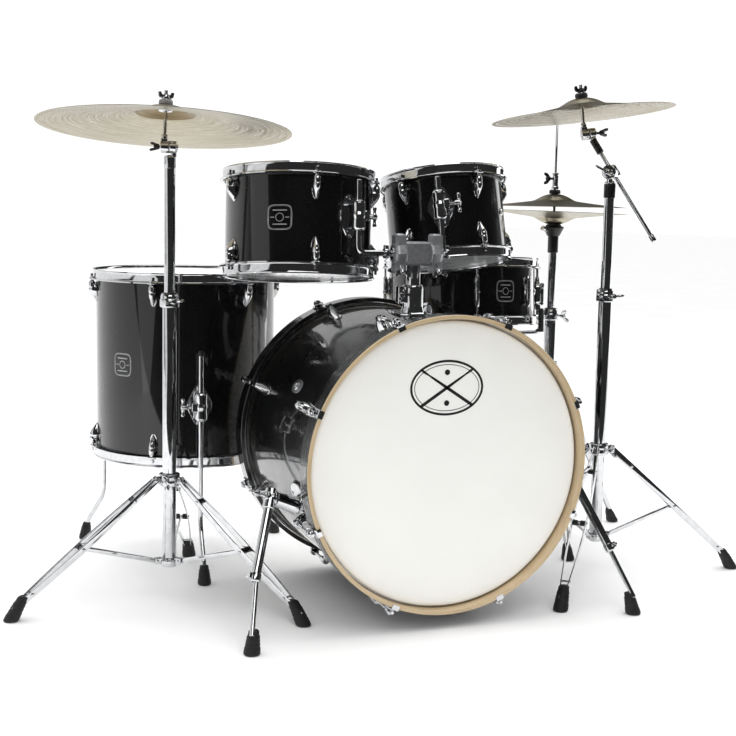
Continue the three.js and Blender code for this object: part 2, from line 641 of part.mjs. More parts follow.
/** A tilter and its spinning cymbal at a hinge place in the kit's frame. */
function tilterAndCymbal(name, parent, place, hingeAxis, axis, cymbal) {
  const tilt = pivot(`${name}_tilt`, parent, place, hingeAxis.toArray());
  const frame = framed(tilt, place, axis, hingeAxis);
  piece(`${name}_tilter`, tilterSolid(cymbal), chrome, frame);
  const hub = new THREE.Vector3(...place).addScaledVector(hingeAxis, -ROD_OFFSET);
  hub.addScaledVector(axis, cymbal.rimAbovePivot);
  const spin = pivot(`${name}_spin`, tilt, hub.toArray(), axis.toArray());
  piece(`${name}_cymbal`, cymbalSolid(cymbal), bronze, framed(spin, hub.toArray(), axis, hingeAxis));
}

/** Solids given in a turned frame at the origin, as solids in the kit's directions. */
function turnedBy(solid, zAxis, xAxis) {
  const yAxis = zAxis.clone().cross(xAxis);
  return solid.transform(new THREE.Matrix4().makeBasis(xAxis, yAxis, zAxis).elements);
}

const ACROSS = new THREE.Vector3(0.934, -0.358, 0);

function rideStand() {
  foldingTripod('ride', RIDE);
  const [x, y] = RIDE.at;
  const height = pivot('ride_height', kit, [x, y, RIDE.clamp], [0, 0, 1]);
  const axis = leaning(RIDE_TILTER.lean);
  const hinge = squareTo(axis, ACROSS);
  const top = RIDE_TILTER.height - RIDE.clamp;
  const seat = turnedBy(tilterSeat(), axis, hinge).translate([0, 0, top]);
  const neck = rod([7, -2.7, top - 18], [7, -2.7, top - 4], 5.5, 8);
  const plug = rod([0, 0, top - 24], [0, 0, top - 15.5], 12, 10);
  const tube = join(pipe(-190, top - 18, TUBE.upper, TUBE.upperBore), plug, neck, seat);
  piece('ride_upper_tube', tube, chrome, height);
  tilterAndCymbal('ride', height, [x, y, RIDE_TILTER.height], hinge, axis, RIDE_CYMBAL);
}

// ---------------------------------------------------------------- boom stand

function crashStand() {
  foldingTripod('crash', CRASH);
  const [x, y] = CRASH.at;
  const height = pivot('crash_height', kit, [x, y, CRASH.clamp], [0, 0, 1]);
  const heading = radians(BOOM.heading);
  const hinge = new THREE.Vector3(Math.sin(heading), -Math.cos(heading), 0);
  const boom = new THREE.Vector3(0, 0, 1).applyAxisAngle(hinge, -radians(BOOM.lean));
  const clampPlace = new THREE.Vector3(x, y, BOOM.height);

  // The fixed half of the boom clamp stands on the tube; the other half carries the boom.
  const top = BOOM.height - CRASH.clamp;
  const fixedHalf = rod([-16, 0, 0], [-GAP / 2, 0, 0], 16, 8);
  const screw = rod([-36, 0, 0], [-15, 0, 0], 4, 8);
  const wings = rod([-34, 0, -17], [-34, 0, 17], 4.5, 6);
  const clampBase = turnedBy(join(fixedHalf, screw, wings), boom, hinge).translate([0, 0, top]);
  const tube = join(
    pipe(-190, top - 30, TUBE.upper, TUBE.upperBore),
    pipe(top - 56, top - 24, 13, TUBE.upperBore),
    rod([0, 0, top - 44], [hinge.x * -10, hinge.y * -10, top - 8], 7, 8),
    clampBase,
  );
  piece('crash_upper_tube', tube, chrome, height);

  const tilt = pivot('boom_tilt', height, clampPlace.toArray(), hinge.toArray());
  const clampFrame = framed(tilt, clampPlace.toArray(), boom, hinge);
  const halfBody = join(rod([GAP / 2, 0, 0], [14, 0, 0], 15.5, 8), block(20, 22, 28, [BOOM.offset, 0, 0]));
  const bore = rod([BOOM.offset, 0, -40], [BOOM.offset, 0, 40], BOOM.radius + 0.8, 10);
  piece('boom_clamp', halfBody.subtract(bore), chrome, clampFrame);

  const line = clampPlace.clone().addScaledVector(hinge, BOOM.offset);
  const slide = pivot('boom_slide', tilt, line.toArray(), boom.toArray());
  const end = line.clone().addScaledVector(boom, BOOM.upper);
  const axis = leaning(CRASH_TILTER.lean);
  const tiltHinge = squareTo(axis, ACROSS);
  const toLine = (point) => point.clone().sub(line);
  const onBoom = (distance) => boom.clone().multiplyScalar(distance).toArray();
  const seatMiddle = toLine(end).addScaledVector(tiltHinge, 8).toArray();
  const arm = join(
    rod(onBoom(-BOOM.lower), onBoom(BOOM.upper - 16), BOOM.radius, 10),
    rod(onBoom(BOOM.upper * 0.5), onBoom(BOOM.upper - 15), 8, 10),
    rod(onBoom(BOOM.upper - 20), seatMiddle, 6.5, 8),
    rod(onBoom(-BOOM.lower - 8), onBoom(-BOOM.lower + 8), 6.5, 8),
    turnedBy(tilterSeat(), axis, tiltHinge).translate(toLine(end).toArray()),
  );
  piece('boom_arm', arm, chrome, slide);
  tilterAndCymbal('crash', slide, end.toArray(), tiltHinge, axis, CRASH_CYMBAL);
}

// ---------------------------------------------------------------- hi-hat

function hihat() {
  const [x, y] = HIHAT.at;
  const place = new THREE.Group();
  place.position.set(x, y, 0);
  kit.add(place);
  const pedalHeel = HIHAT.pedalLength;
  const cup = [[5, -24], [16, -20], [26, 0], [20, 5], [5, 5]];
  const frame = [
    pipe(30, HIHAT.clamp, TUBE.lower, TUBE.lowerBore - 4),
    pipe(HIHAT.clamp - 22, HIHAT.clamp + 6, 20, TUBE.lowerBore - 4),
    pipe(HIHAT.clamp, HIHAT.seat - 32, 10, 5),
    pipe(HIHAT.seat - 62, HIHAT.seat - 20, 13, 5),
    turned(cup.map(([r, z]) => [r, HIHAT.seat + z]), 10),
    wingNut([-18, 0, HIHAT.clamp - 8], [-38, 0, HIHAT.clamp - 8]),
    ...fixedTripod(HIHAT.legAngles, HIHAT.reach, HIHAT.collar, 110),
    block(9, pedalHeel, 4, [-34, pedalHeel / 2, 3]),
    block(9, pedalHeel, 4, [34, pedalHeel / 2, 3]),
    block(77, 34, 4, [0, 4, 3]),
    block(77, 60, 4, [0, pedalHeel - 20, 3]),
    rod([-34, 0, 3], [-34, 0, 60], 5, 8),
    rod([34, 0, 3], [34, 0, 60], 5, 8),
    block(77, 12, 12, [0, 0, 56]),
    block(50, 10, 14, [0, pedalHeel - 2, 12]),
  ];
  const pullRodHole = rod([0, 0, -1], [0, 0, 70], 5.4, 10);
  piece('hihat_stand', join(...frame).subtract(pullRodHole), chrome, place);

  const bottom = new THREE.Group();
  bottom.position.set(x, y, HIHAT.bottomRim);
  bottom.rotation.set(Math.PI, radians(HIHAT.bottomTilt), 0);
  kit.add(bottom);
  piece('hihat_bottom_cymbal', cymbalSolid(HAT_CYMBAL), bronze, bottom);

  const lift = pivot('hihat_rod_lift', kit, [x, y, HIHAT.topRim], [0, 0, 1]);
  const level = (z) => z - HIHAT.topRim;
  const bell = level(HIHAT.topRim + HAT_CYMBAL.height);
  const rodParts = join(
    rod([0, 0, level(84)], [0, 0, level(HIHAT.rodTop)], 3.2, 8),
    rod([0, 0, bell + GAP], [0, 0, bell + 12], 14, 8),
    rod([0, 0, bell + 11], [0, 0, bell + 52], 8, 10),
    rod([0, 0, bell - 13], [0, 0, bell - 4.6], 12, 10),
    rod([-26, 0, bell + 38], [0, 0, bell + 38], 3.5, 6),
    rod([-24, 0, bell + 24], [-24, 0, bell + 52], 4, 6),
  );
  piece('hihat_rod', rodParts, chrome, lift);
  const topCymbal = new THREE.Group();
  lift.add(topCymbal);
  piece('hihat_top_cymbal', cymbalSolid(HAT_CYMBAL), bronze, topCymbal);

  const heel = [x, y + pedalHeel - 26, 20];
  const pedal = pivot('hihat_pedal', kit, heel, [1, 0, 0]);
  const rise = Math.atan2(HIHAT.pedalLift, pedalHeel - 46);
  const boardGeometry = new THREE.BoxGeometry(62, pedalHeel - 40, 6);
  boardGeometry.translate(0, -(pedalHeel - 40) / 2 - 1, 3);
  boardGeometry.rotateX(-rise);
  piece('hihat_footboard', toSolid(boardGeometry), chrome, pedal);
}

// ---------------------------------------------------------------- the kit

bassDrum();
spur('left_spur', -1);
spur('right_spur', 1);
const post = tomPost();
rackTom('left_tom', LEFT_TOM, LEFT_TOM_TOP, post, -1, BRACKET_ANGLE.left);
rackTom('right_tom', RIGHT_TOM, RIGHT_TOM_TOP, post, 1, BRACKET_ANGLE.right);
floorTom();
snareOnStand();
rideStand();
crashStand();
hihat();

// The origin is under the middle of the kit's bounding box, on the floor.
kit.updateMatrixWorld(true);
const bounds = new THREE.Box3().setFromObject(kit, true);
const centre = bounds.getCenter(new THREE.Vector3());
kit.position.set(-centre.x, -centre.y, -bounds.min.z);
kit.updateMatrixWorld(true);

export default kit;
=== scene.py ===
# %% [markdown]
# # An acoustic drum kit in gloss black and chrome
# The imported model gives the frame: where every drum, stand and hinge is. This lesson dresses it. Each piece
# is a surface worked out with numpy, a turned outline, a plate or a section carried along a path, and each
# finish is a small node tree. Lengths are in millimetres until the moment a mesh is made.

# %% Load the frame
import json
import math

import bpy
import numpy as np
from mathutils import Matrix


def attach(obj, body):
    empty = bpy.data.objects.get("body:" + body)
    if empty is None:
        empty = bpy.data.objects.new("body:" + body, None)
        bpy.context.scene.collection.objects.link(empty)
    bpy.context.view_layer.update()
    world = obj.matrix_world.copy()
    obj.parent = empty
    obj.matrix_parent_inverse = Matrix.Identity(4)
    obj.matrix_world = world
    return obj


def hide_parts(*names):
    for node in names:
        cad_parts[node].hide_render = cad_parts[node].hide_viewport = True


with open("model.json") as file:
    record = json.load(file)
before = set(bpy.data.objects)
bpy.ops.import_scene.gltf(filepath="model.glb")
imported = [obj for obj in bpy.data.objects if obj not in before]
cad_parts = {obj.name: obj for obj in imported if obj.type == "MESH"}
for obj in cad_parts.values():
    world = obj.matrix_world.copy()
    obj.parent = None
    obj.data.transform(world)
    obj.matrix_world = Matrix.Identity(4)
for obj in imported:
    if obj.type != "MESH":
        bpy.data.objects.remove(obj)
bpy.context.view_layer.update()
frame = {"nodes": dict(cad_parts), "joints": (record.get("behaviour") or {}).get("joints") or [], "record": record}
MM = 0.001

# %% [markdown]
# ## Places come from the frame
# A joint tells where a hinge is and which way it turns. A drum's place comes from its head: the points of a
# flat disc spread least along its axis, so the last direction of a singular value decomposition is the axis.

# %% Joints, points and drum frames
joints = {j["name"]: j for j in frame["joints"]}


def unit(v):
    """The vector at length 1."""
    v = np.asarray(v, float)
    return v / np.linalg.norm(v)


def joint_point(name):
    """Where a joint sits, in millimetres."""
    return np.array(joints[name]["pos_m"]) / MM


def joint_axis(name):
    """The way a joint turns or slides, at length 1."""
    return unit(joints[name]["axis"])


def cad_points(node):
    """The node's different corner points, in millimetres."""
    mesh = frame["nodes"][node].data
    points = np.empty(len(mesh.vertices) * 3)
    mesh.vertices.foreach_get("co", points)
    return np.unique(np.round(points.reshape(-1, 3) / MM, 2), axis=0)


def square_to(axis, wanted):
    """The wanted direction without its part along the axis, at length 1."""
    return unit(np.asarray(wanted, float) - np.dot(wanted, axis) * axis)


def frame_at(origin, z_axis=(0, 0, 1), x_axis=(1, 0, 0)):
    """A 4 x 4 matrix: origin, Z as given, X as near as it can be to the one given, Y square to both."""
    z = unit(z_axis)
    x = square_to(z, x_axis)
    matrix = np.eye(4)
    matrix[:3, 0], matrix[:3, 1], matrix[:3, 2], matrix[:3, 3] = x, np.cross(z, x), z, origin
    return matrix


def shift(x=0.0, y=0.0, z=0.0):
    """A move by x, y and z."""
    matrix = np.eye(4)
    matrix[:3, 3] = x, y, z
    return matrix


def spin(degrees, axis=2):
    """A turn about one of the three axes."""
    c, s = math.cos(math.radians(degrees)), math.sin(math.radians(degrees))
    i, j = [k for k in range(3) if k != axis]
    if axis == 1:
        s = -s
    matrix = np.eye(4)
    matrix[i, i], matrix[i, j], matrix[j, i], matrix[j, j] = c, -s, s, c
    return matrix


def head_frame(node, toward, skin):
    """Frame of a drum at the middle of its bearing edge: along the head's axis, skin mm below its top."""
    points = cad_points(node)
    middle = points.mean(axis=0)
    axis = np.linalg.svd(points - middle)[2][2]
    axis = axis * np.sign(axis @ np.asarray(toward, float))
    rise = ((points - middle) @ axis).max() - skin
    return frame_at(middle + axis * rise, axis)


# %% [markdown]
# ## Shapes are arrays
# A shape is three arrays: points, quads, and for every corner of a quad a flat (u, v) place in metres that a
# pattern can follow. Turned bodies, plates and swept sections all end in the same grid of points, so one
# function makes the quads. Where a grid shrinks to one point, the weld turns its quads to triangles.

# %% Grids, outlines and turned bodies
def grid(points, around=True, along=False, size=(1.0, 1.0)):
    """Quads over points[i, j]: a cell joins (i, j), (i+1, j), (i+1, j+1) and (i, j+1), wrapping if asked."""
    rows, columns = points.shape[:2]
    cells_u, cells_v = rows if around else rows - 1, columns if along else columns - 1
    i, j = np.meshgrid(np.arange(cells_u), np.arange(cells_v), indexing="ij")
    corner_u = np.stack([i, i + 1, i + 1, i], -1).reshape(-1, 4)
    corner_v = np.stack([j, j, j + 1, j + 1], -1).reshape(-1, 4)
    quads = (corner_u % rows) * columns + corner_v % columns
    flat = np.stack([corner_u * size[0] / cells_u, corner_v * size[1] / cells_v], -1) * MM
    return points.reshape(-1, 3), quads, flat


def rounded(points, radius, steps=4, closed=True):
    """Each corner becomes a curve (1-t)^2 start + 2t(1-t) corner + t^2 end, radius mm to either side."""
    corner = np.asarray(points, float)
    before, after = np.roll(corner, 1, 0) - corner, np.roll(corner, -1, 0) - corner
    reach_in = np.linalg.norm(before, axis=1, keepdims=True)
    reach_out = np.linalg.norm(after, axis=1, keepdims=True)
    r = np.minimum(radius, 0.49 * np.minimum(reach_in, reach_out))
    start, end = corner + before / reach_in * r, corner + after / reach_out * r
    t = np.linspace(0, 1, steps)[:, None]
    curve = (1 - t) ** 2 * start[:, None] + 2 * t * (1 - t) * corner[:, None] + t ** 2 * end[:, None]
    if closed:
        return curve.reshape(-1, corner.shape[1])
    return np.concatenate([corner[:1], curve[1:-1].reshape(-1, corner.shape[1]), corner[-1:]])


def lathe(outline, steps=48):
    """A turned body: each outline point (r, z) goes round the axis, x = r cos a and y = r sin a."""
    r, z = np.asarray(outline, float).T
    a = np.linspace(0, 2 * np.pi, steps, endpoint=False)[:, None]
    points = np.stack([r * np.cos(a), r * np.sin(a), z + 0 * a], -1)
    length = np.hypot(*np.diff(np.c_[r, z], axis=0).T).sum()
    return grid(points, True, True, (2 * np.pi * r.max(), length))


def circle(radius, steps=24):
    """x = r cos a, y = r sin a."""
    a = np.linspace(0, 2 * np.pi, steps, endpoint=False)
    return np.c_[radius * np.cos(a), radius * np.sin(a)]


def oblong(width, height, power=4.0, steps=32):
    """A superellipse: |x / a|^p + |y / b|^p = 1, so power 2 is an ellipse and a high power a rounded box."""
    a = np.linspace(0, 2 * np.pi, steps, endpoint=False)
    c, s = np.cos(a), np.sin(a)
    reach = (np.abs(c) ** power + np.abs(s) ** power) ** (-1 / power)
    return np.c_[width / 2 * c * reach, height / 2 * s * reach]


def plate(outline, bottom, top, bevel=0.8):
    """A flat plate: the outline between two heights, bevelled edges, and faces fanned to the middle."""
    outline = np.asarray(outline, float)
    middle = outline.mean(0)
    reach = np.linalg.norm(outline - middle, axis=1, keepdims=True)
    inset = middle + (outline - middle) * (1 - bevel / reach)
    centre = np.broadcast_to(middle, outline.shape)
    levels = [(centre, bottom), (inset, bottom), (outline, bottom + bevel), (outline, top - bevel),
              (inset, top), (centre, top)]
    points = np.stack([np.c_[ring, np.full(len(ring), z)] for ring, z in levels], 1)
    return grid(points, True, False, (np.ptp(outline[:, 0]) * 3, top - bottom))


def sweep(path, section, scale=None, side=None):
    """A closed section carried along a path, square to it, with both ends drawn in to a point and so closed.
    The section's Y stays along the side direction: the normal of the plane that the path lies in."""
    path, section = np.asarray(path, float), np.asarray(section, float)
    scale = np.ones(len(path)) if scale is None else np.asarray(scale, float)
    tangent = np.gradient(path, axis=0)
    tangent /= np.linalg.norm(tangent, axis=1, keepdims=True)
    if side is None:
        side = np.linalg.svd(path - path.mean(0) + 1e-9 * np.arange(3))[2][2]
    across = np.cross(np.asarray(side, float), tangent)
    across /= np.linalg.norm(across, axis=1, keepdims=True)
    upward = np.cross(tangent, across)
    path, across, upward = (np.concatenate([a[:1], a, a[-1:]]) for a in (path, across, upward))
    scale = np.concatenate([[0], scale, [0]])[None, :, None]
    offset = section[:, None, :1] * across[None] + section[:, None, 1:] * upward[None]
    points = path[None] + scale * offset
    length = np.linalg.norm(np.diff(path, axis=0), axis=1).sum()
    return grid(points, True, False, (2 * np.pi * np.abs(section).max(), length))


def tube(path, radius, sides=18, chamfer=0.7, side=None):
    """A round rod along a path, its two ends chamfered."""
    path = np.asarray(path, float)
    radius = np.full(len(path), float(radius)) if np.isscalar(radius) else np.asarray(radius, float)
    chamfer = min(chamfer, 0.45 * radius.min(), 0.3 * np.linalg.norm(path[1] - path[0]))
    first = path[0] + unit(path[1] - path[0]) * chamfer
    last = path[-1] + unit(path[-2] - path[-1]) * chamfer
    stations = np.concatenate([path[:1], [first], path[1:-1], [last], path[-1:]])
    radii = np.concatenate([[radius[0] - chamfer], [radius[0]], radius[1:-1], [radius[-1]],
                            [radius[-1] - chamfer]])
    return sweep(stations, circle(1.0, sides), radii, side)


def rod(start, end, radius, end_radius=None, sides=18, chamfer=0.7):
    """A round rod or a cone between two points."""
    end_radius = radius if end_radius is None else end_radius
    return tube([start, end], [radius, end_radius], sides, chamfer)


def strip_section(width, thickness, corner=1.2):
    """The cross section of a flat strip with round edges."""
    x, y = width / 2, thickness / 2
    return rounded([(-x, -y), (x, -y), (x, y), (-x, y)], corner, 4)


def bar(start, end, width, thickness, side, corner=1.2):
    """A flat strip between two points, its thickness along the side direction."""
    start, end = np.asarray(start, float), np.asarray(end, float)
    draw = min(0.8, thickness * 0.3)
    ends = unit(end - start) * draw
    section = strip_section(width, thickness, corner)
    narrow = 1 - draw / width
    return sweep([start, start + ends, end - ends, end], section, [narrow, 1, 1, narrow], side)


def block(width, depth, height, corner=3.0, bevel=1.2):
    """A box with round corners, about its middle."""
    outline = rounded([(width / 2, -depth / 2), (width / 2, depth / 2), (-width / 2, depth / 2),
                       (-width / 2, -depth / 2)], corner, 5)
    return plate(outline, -height / 2, height / 2, bevel)


def ellipsoid(a, b, c, steps=24, rows=14):
    """x = a sin t cos u, y = b sin t sin u, z = c cos t."""
    t = np.linspace(0, np.pi, rows)
    u = np.linspace(0, 2 * np.pi, steps, endpoint=False)[:, None]
    points = np.stack([a * np.sin(t) * np.cos(u), b * np.sin(t) * np.sin(u), c * np.cos(t) + 0 * u], -1)
    return grid(points, True, False, (2 * np.pi * a, np.pi * c))


def moved(shape, *matrices):
    """The shape after the matrices' product, the last one first, as in frame @ spin @ shift."""
    matrix = np.linalg.multi_dot(matrices) if len(matrices) > 1 else matrices[0]
    points, quads, flat = shape
    return points @ matrix[:3, :3].T + matrix[:3, 3], quads, flat


def placed(shapes, *matrices):
    """A list of shapes, all moved alike."""
    return [moved(shape, *matrices) for shape in shapes]


def around(count, first):
    """Evenly spaced angles, in degrees."""
    return [first + 360.0 / count * i for i in range(count)]


def on_shell(shape, radius):
    """Wraps a flat shape on a cylinder: x stands out from the wall, y runs along it, z stays."""
    points, quads, flat = shape
    r, a = radius + points[:, 0], points[:, 1] / radius
    return np.c_[r * np.cos(a), r * np.sin(a), points[:, 2]], quads, flat


# %% Meshes and pieces
made = {}


def weld(points, quads):
    """Points that coincide become one, and a quad that loses a corner becomes a triangle."""
    points, index = np.unique(np.round(points, 4), axis=0, return_inverse=True)
    quads = index.reshape(-1)[quads]
    keep = quads != np.roll(quads, 1, axis=1)
    return points, quads, keep


def build(name, shapes, finish, body, replaces=(), sharp=32.0):
    """One piece: its shapes welded, turned outward by the sign of their volume, and joined to one mesh."""
    all_points, loops, totals, flats, count = [], [], [], [], 0
    for points, quads, flat in shapes:
        points, quads, keep = weld(points, quads)
        whole = keep.sum(1) > 2
        quads, keep, flat = quads[whole], keep[whole], flat[whole]
        a, b, c, d = (points[quads[:, k]] for k in range(4))
        volume = (np.cross(a, b) * c).sum() + (np.cross(a, c) * d).sum()
        if volume < 0:
            quads, keep, flat = quads[:, ::-1], keep[:, ::-1], flat[:, ::-1]
        loops.append(quads[keep] + count)
        totals.append(keep.sum(1))
        flats.append(flat[keep])
        all_points.append(points)
        count += len(points)
    points, loops, totals = np.concatenate(all_points), np.concatenate(loops), np.concatenate(totals)
    mesh = bpy.data.meshes.new(name)
    mesh.vertices.add(len(points))
    mesh.vertices.foreach_set("co", (points * MM).ravel())
    mesh.loops.add(len(loops))
    mesh.loops.foreach_set("vertex_index", loops)
    mesh.polygons.add(len(totals))
    mesh.polygons.foreach_set("loop_start", np.concatenate([[0], np.cumsum(totals)[:-1]]))
    mesh.polygons.foreach_set("loop_total", totals)
    uv = mesh.uv_layers.new(name="UVMap")
    uv.data.foreach_set("uv", np.concatenate(flats).ravel())
    mesh.update(calc_edges=True)
    mesh.validate()
    mesh.shade_smooth()
    mesh.set_sharp_from_angle(angle=math.radians(sharp))
    mesh.materials.append(finish)
    piece = bpy.data.objects.new(name, mesh)
    bpy.context.scene.collection.objects.link(piece)
    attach(piece, body)
    if replaces:
        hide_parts(*replaces)
    made[name] = len(totals)
    return piece


# %% [markdown]
# ## Finishes
# Every finish starts as a Principled shader with values typical for the real material. Colours are sRGB hex,
# turned linear once. Patterns read Object coordinates, in metres, so a pattern that repeats every 3 mm has
# the scale 1 / 0.003. Patterns that run along a piece, such as wood grain and lathe grooves, read its UV map.

# %% Node helpers
def linear(code):
    """sRGB hex to linear: up to 0.04045 c / 12.92, above it ((c + 0.055) / 1.055) to the power 2.4."""
    c = np.array([int(code[i:i + 2], 16) for i in (1, 3, 5)]) / 255
    return (*np.where(c <= 0.04045, c / 12.92, ((c + 0.055) / 1.055) ** 2.4), 1.0)


def add(tree, kind, inputs=None, **settings):
    """Adds one node with its settings, and fills its sockets with values or with links."""
    node = tree.nodes.new(kind)
    for key, value in settings.items():
        setattr(node, key, value)
    for key, value in (inputs or {}).items():
        if isinstance(value, bpy.types.NodeSocket):
            tree.links.new(value, node.inputs[key])
        else:
            node.inputs[key].default_value = value
    return node


def finish(name, colour, roughness, metallic=0.0, sockets=None):
    """A new material with one Principled shader; gives back the material, its tree and the shader."""
    material = bpy.data.materials.new(name)
    material.use_nodes = True
    tree = material.node_tree
    tree.nodes.clear()
    shader = add(tree, "ShaderNodeBsdfPrincipled", {
        "Base Color": linear(colour), "Roughness": roughness, "Metallic": metallic, **(sockets or {})})
    add(tree, "ShaderNodeOutputMaterial", {"Surface": shader.outputs[0]})
    material.diffuse_color = linear(colour)
    return material, tree, shader


def pattern(tree, size, detail=3.0, stretch=(1, 1, 1), source="Object", rough=0.5):
    """Noise whose blobs are about size mm, longer along the directions that stretch makes small."""
    place = add(tree, "ShaderNodeTexCoord").outputs[source]
    mapped = add(tree, "ShaderNodeMapping", {"Vector": place, "Scale": stretch})
    noise = add(tree, "ShaderNodeTexNoise", {
        "Vector": mapped.outputs[0], "Scale": 1 / (size * MM), "Detail": detail, "Roughness": rough})
    return noise.outputs[0]


def spread(tree, value, low, high, start=0.35, end=0.65):
    """Maps a pattern's middle range to the range low to high."""
    return add(tree, "ShaderNodeMapRange", {
        "Value": value, "From Min": start, "From Max": end, "To Min": low, "To Max": high}).outputs[0]


def blend(tree, value, first, second, start=0.35, end=0.65):
    """Mixes two colours by a pattern."""
    ramp = add(tree, "ShaderNodeValToRGB", {"Fac": value})
    for element, place, code in zip(ramp.color_ramp.elements, (start, end), (first, second)):
        element.position, element.color = place, linear(code)
    return ramp.outputs[0]


def raise_by(tree, shader, height, depth, strength=1.0, coat=False):
    """Bump of depth mm from a pattern, on the shader's normal and, if asked, on its clear coat."""
    bump = add(tree, "ShaderNodeBump", {"Height": height, "Distance": depth * MM, "Strength": strength})
    tree.links.new(bump.outputs[0], shader.inputs["Normal"])
    if coat:
        tree.links.new(bump.outputs[0], shader.inputs["Coat Normal"])


# %% [markdown]
# ### Black wrap and lacquered wood
# The shells wear a glossy plastic wrap, so they mirror the room with a slight orange peel. The bass hoops
# are maple: black lacquer outside, clear-coated wood on the front faces, with grain along the bend.

# %% Wrap, maple and lacquer
def gloss_wrap():
    """Gloss black plastic: a weak base reflection under a hard clear coat with faint orange peel."""
    material, tree, shader = finish("gloss_black_wrap", "#0a0a0b", 0.3, 0.0, {
        "IOR": 1.45, "Specular IOR Level": 0.15, "Coat Weight": 1.0, "Coat Roughness": 0.04})
    tree.links.new(spread(tree, pattern(tree, 60, 4), 0.26, 0.34), shader.inputs["Roughness"])
    tree.links.new(blend(tree, pattern(tree, 1.2, 2), "#080808", "#0d0d0e"), shader.inputs["Base Color"])
    raise_by(tree, shader, pattern(tree, 14, 1), 0.015, 0.15, coat=True)
    return material


def maple_wood():
    """Pale maple under clear lacquer, with grain lines that run round the hoop."""
    material, tree, shader = finish("clear_coated_maple", "#cab491", 0.42, 0.0, {
        "IOR": 1.5, "Coat Weight": 0.35, "Coat Roughness": 0.15})
    grain = pattern(tree, 1.6, 5, (0.02, 1, 1), "UV")
    tree.links.new(blend(tree, grain, "#cdb896", "#b39c78", 0.3, 0.75), shader.inputs["Base Color"])
    tree.links.new(spread(tree, grain, 0.36, 0.5), shader.inputs["Roughness"])
    raise_by(tree, shader, grain, 0.12, 0.5)
    return material


def black_lacquer():
    """Black lacquer thin enough for the grain under it to show as relief."""
    material, tree, shader = finish("black_lacquer_on_maple", "#0a0a0a", 0.25, 0.0, {
        "IOR": 1.5, "Coat Weight": 0.9, "Coat Roughness": 0.06})
    grain = pattern(tree, 2.2, 4, (0.03, 1, 1), "UV")
    tree.links.new(spread(tree, grain, 0.2, 0.34), shader.inputs["Roughness"])
    tree.links.new(blend(tree, pattern(tree, 30, 3), "#090909", "#121212"), shader.inputs["Base Color"])
    raise_by(tree, shader, grain, 0.05, 0.35, coat=True)
    return material


# %% [markdown]
# ### Metals
# Chrome plate is almost a mirror; handling leaves faint smudges, so its roughness drifts between 0.03 and
# 0.10 over centimetres. The cast zinc of the tom holder is satin with a fine grain, and aluminium rims are
# brushed.

# %% Chrome, zinc and aluminium
def chrome_plate():
    """Bright chrome: a metal with smudges 35 mm wide and waves 5 mm wide."""
    material, tree, shader = finish("chrome_plate", "#d3d4d6", 0.06, 1.0)
    tree.links.new(spread(tree, pattern(tree, 35, 5), 0.03, 0.10), shader.inputs["Roughness"])
    tree.links.new(blend(tree, pattern(tree, 12, 4), "#cdced1", "#dadbdc"), shader.inputs["Base Color"])
    raise_by(tree, shader, pattern(tree, 5, 1), 0.015, 0.25)
    return material


def cast_zinc():
    """Satin die-cast zinc with a grain of about 1 mm."""
    material, tree, shader = finish("satin_cast_zinc", "#a9aaad", 0.42, 0.75)
    tree.links.new(spread(tree, pattern(tree, 3, 4), 0.34, 0.52), shader.inputs["Roughness"])
    tree.links.new(blend(tree, pattern(tree, 8, 4), "#a0a1a4", "#b6b7ba"), shader.inputs["Base Color"])
    raise_by(tree, shader, pattern(tree, 1.2, 3), 0.10, 0.6)
    return material


def brushed_aluminium():
    """Aluminium with brush lines that run round the rim."""
    material, tree, shader = finish("brushed_aluminium", "#b8babc", 0.34, 1.0)
    lines = pattern(tree, 0.9, 3, (0.02, 1, 1), "UV")
    tree.links.new(spread(tree, lines, 0.26, 0.44), shader.inputs["Roughness"])
    tree.links.new(blend(tree, lines, "#b0b2b4", "#c2c4c6"), shader.inputs["Base Color"])
    raise_by(tree, shader, lines, 0.03, 0.4)
    return material


# %% [markdown]
# ### Heads
# A coated head is polyester film sprayed with a matt white grit. The grit is about 0.4 mm; it is drawn at
# 1.5 mm so that it shows. The lower heads are glossy clear film, milky where the light catches them.

# %% Coated and glossy film
def coated_film():
    """White coated film: matt, with grit in its relief and its roughness."""
    material, tree, shader = finish("coated_white_film", "#f3f4f0", 0.62, 0.0, {"IOR": 1.5})
    grit = pattern(tree, 1.5, 4, rough=0.7)
    tree.links.new(blend(tree, pattern(tree, 90, 2), "#f4f4f0", "#f6f6f2"), shader.inputs["Base Color"])
    tree.links.new(spread(tree, grit, 0.52, 0.72), shader.inputs["Roughness"])
    raise_by(tree, shader, grit, 0.10, 0.5)
    return material


def glossy_film():
    """Milky film with a clear gloss and shallow waves."""
    material, tree, shader = finish("milky_glossy_film", "#dfe1e1", 0.2, 0.0, {
        "IOR": 1.57, "Coat Weight": 0.6, "Coat Roughness": 0.08})
    tree.links.new(blend(tree, pattern(tree, 50, 3), "#d8dadb", "#e6e7e7"), shader.inputs["Base Color"])
    tree.links.new(spread(tree, pattern(tree, 25, 3), 0.16, 0.26), shader.inputs["Roughness"])
    raise_by(tree, shader, pattern(tree, 40, 1), 0.10, 0.3)
    return material


# %% [markdown]
# ### Bronze
# Cymbals are cast bronze, hammered and then lathed. The lathe leaves rings: v of the UV map is the distance
# from the middle, so a wave along v draws them. Real grooves are about 1 mm apart, and 2.2 mm is drawn. Long
# arcs of slightly different colour come from noise stretched along u, and hammer marks are 14 mm dimples.

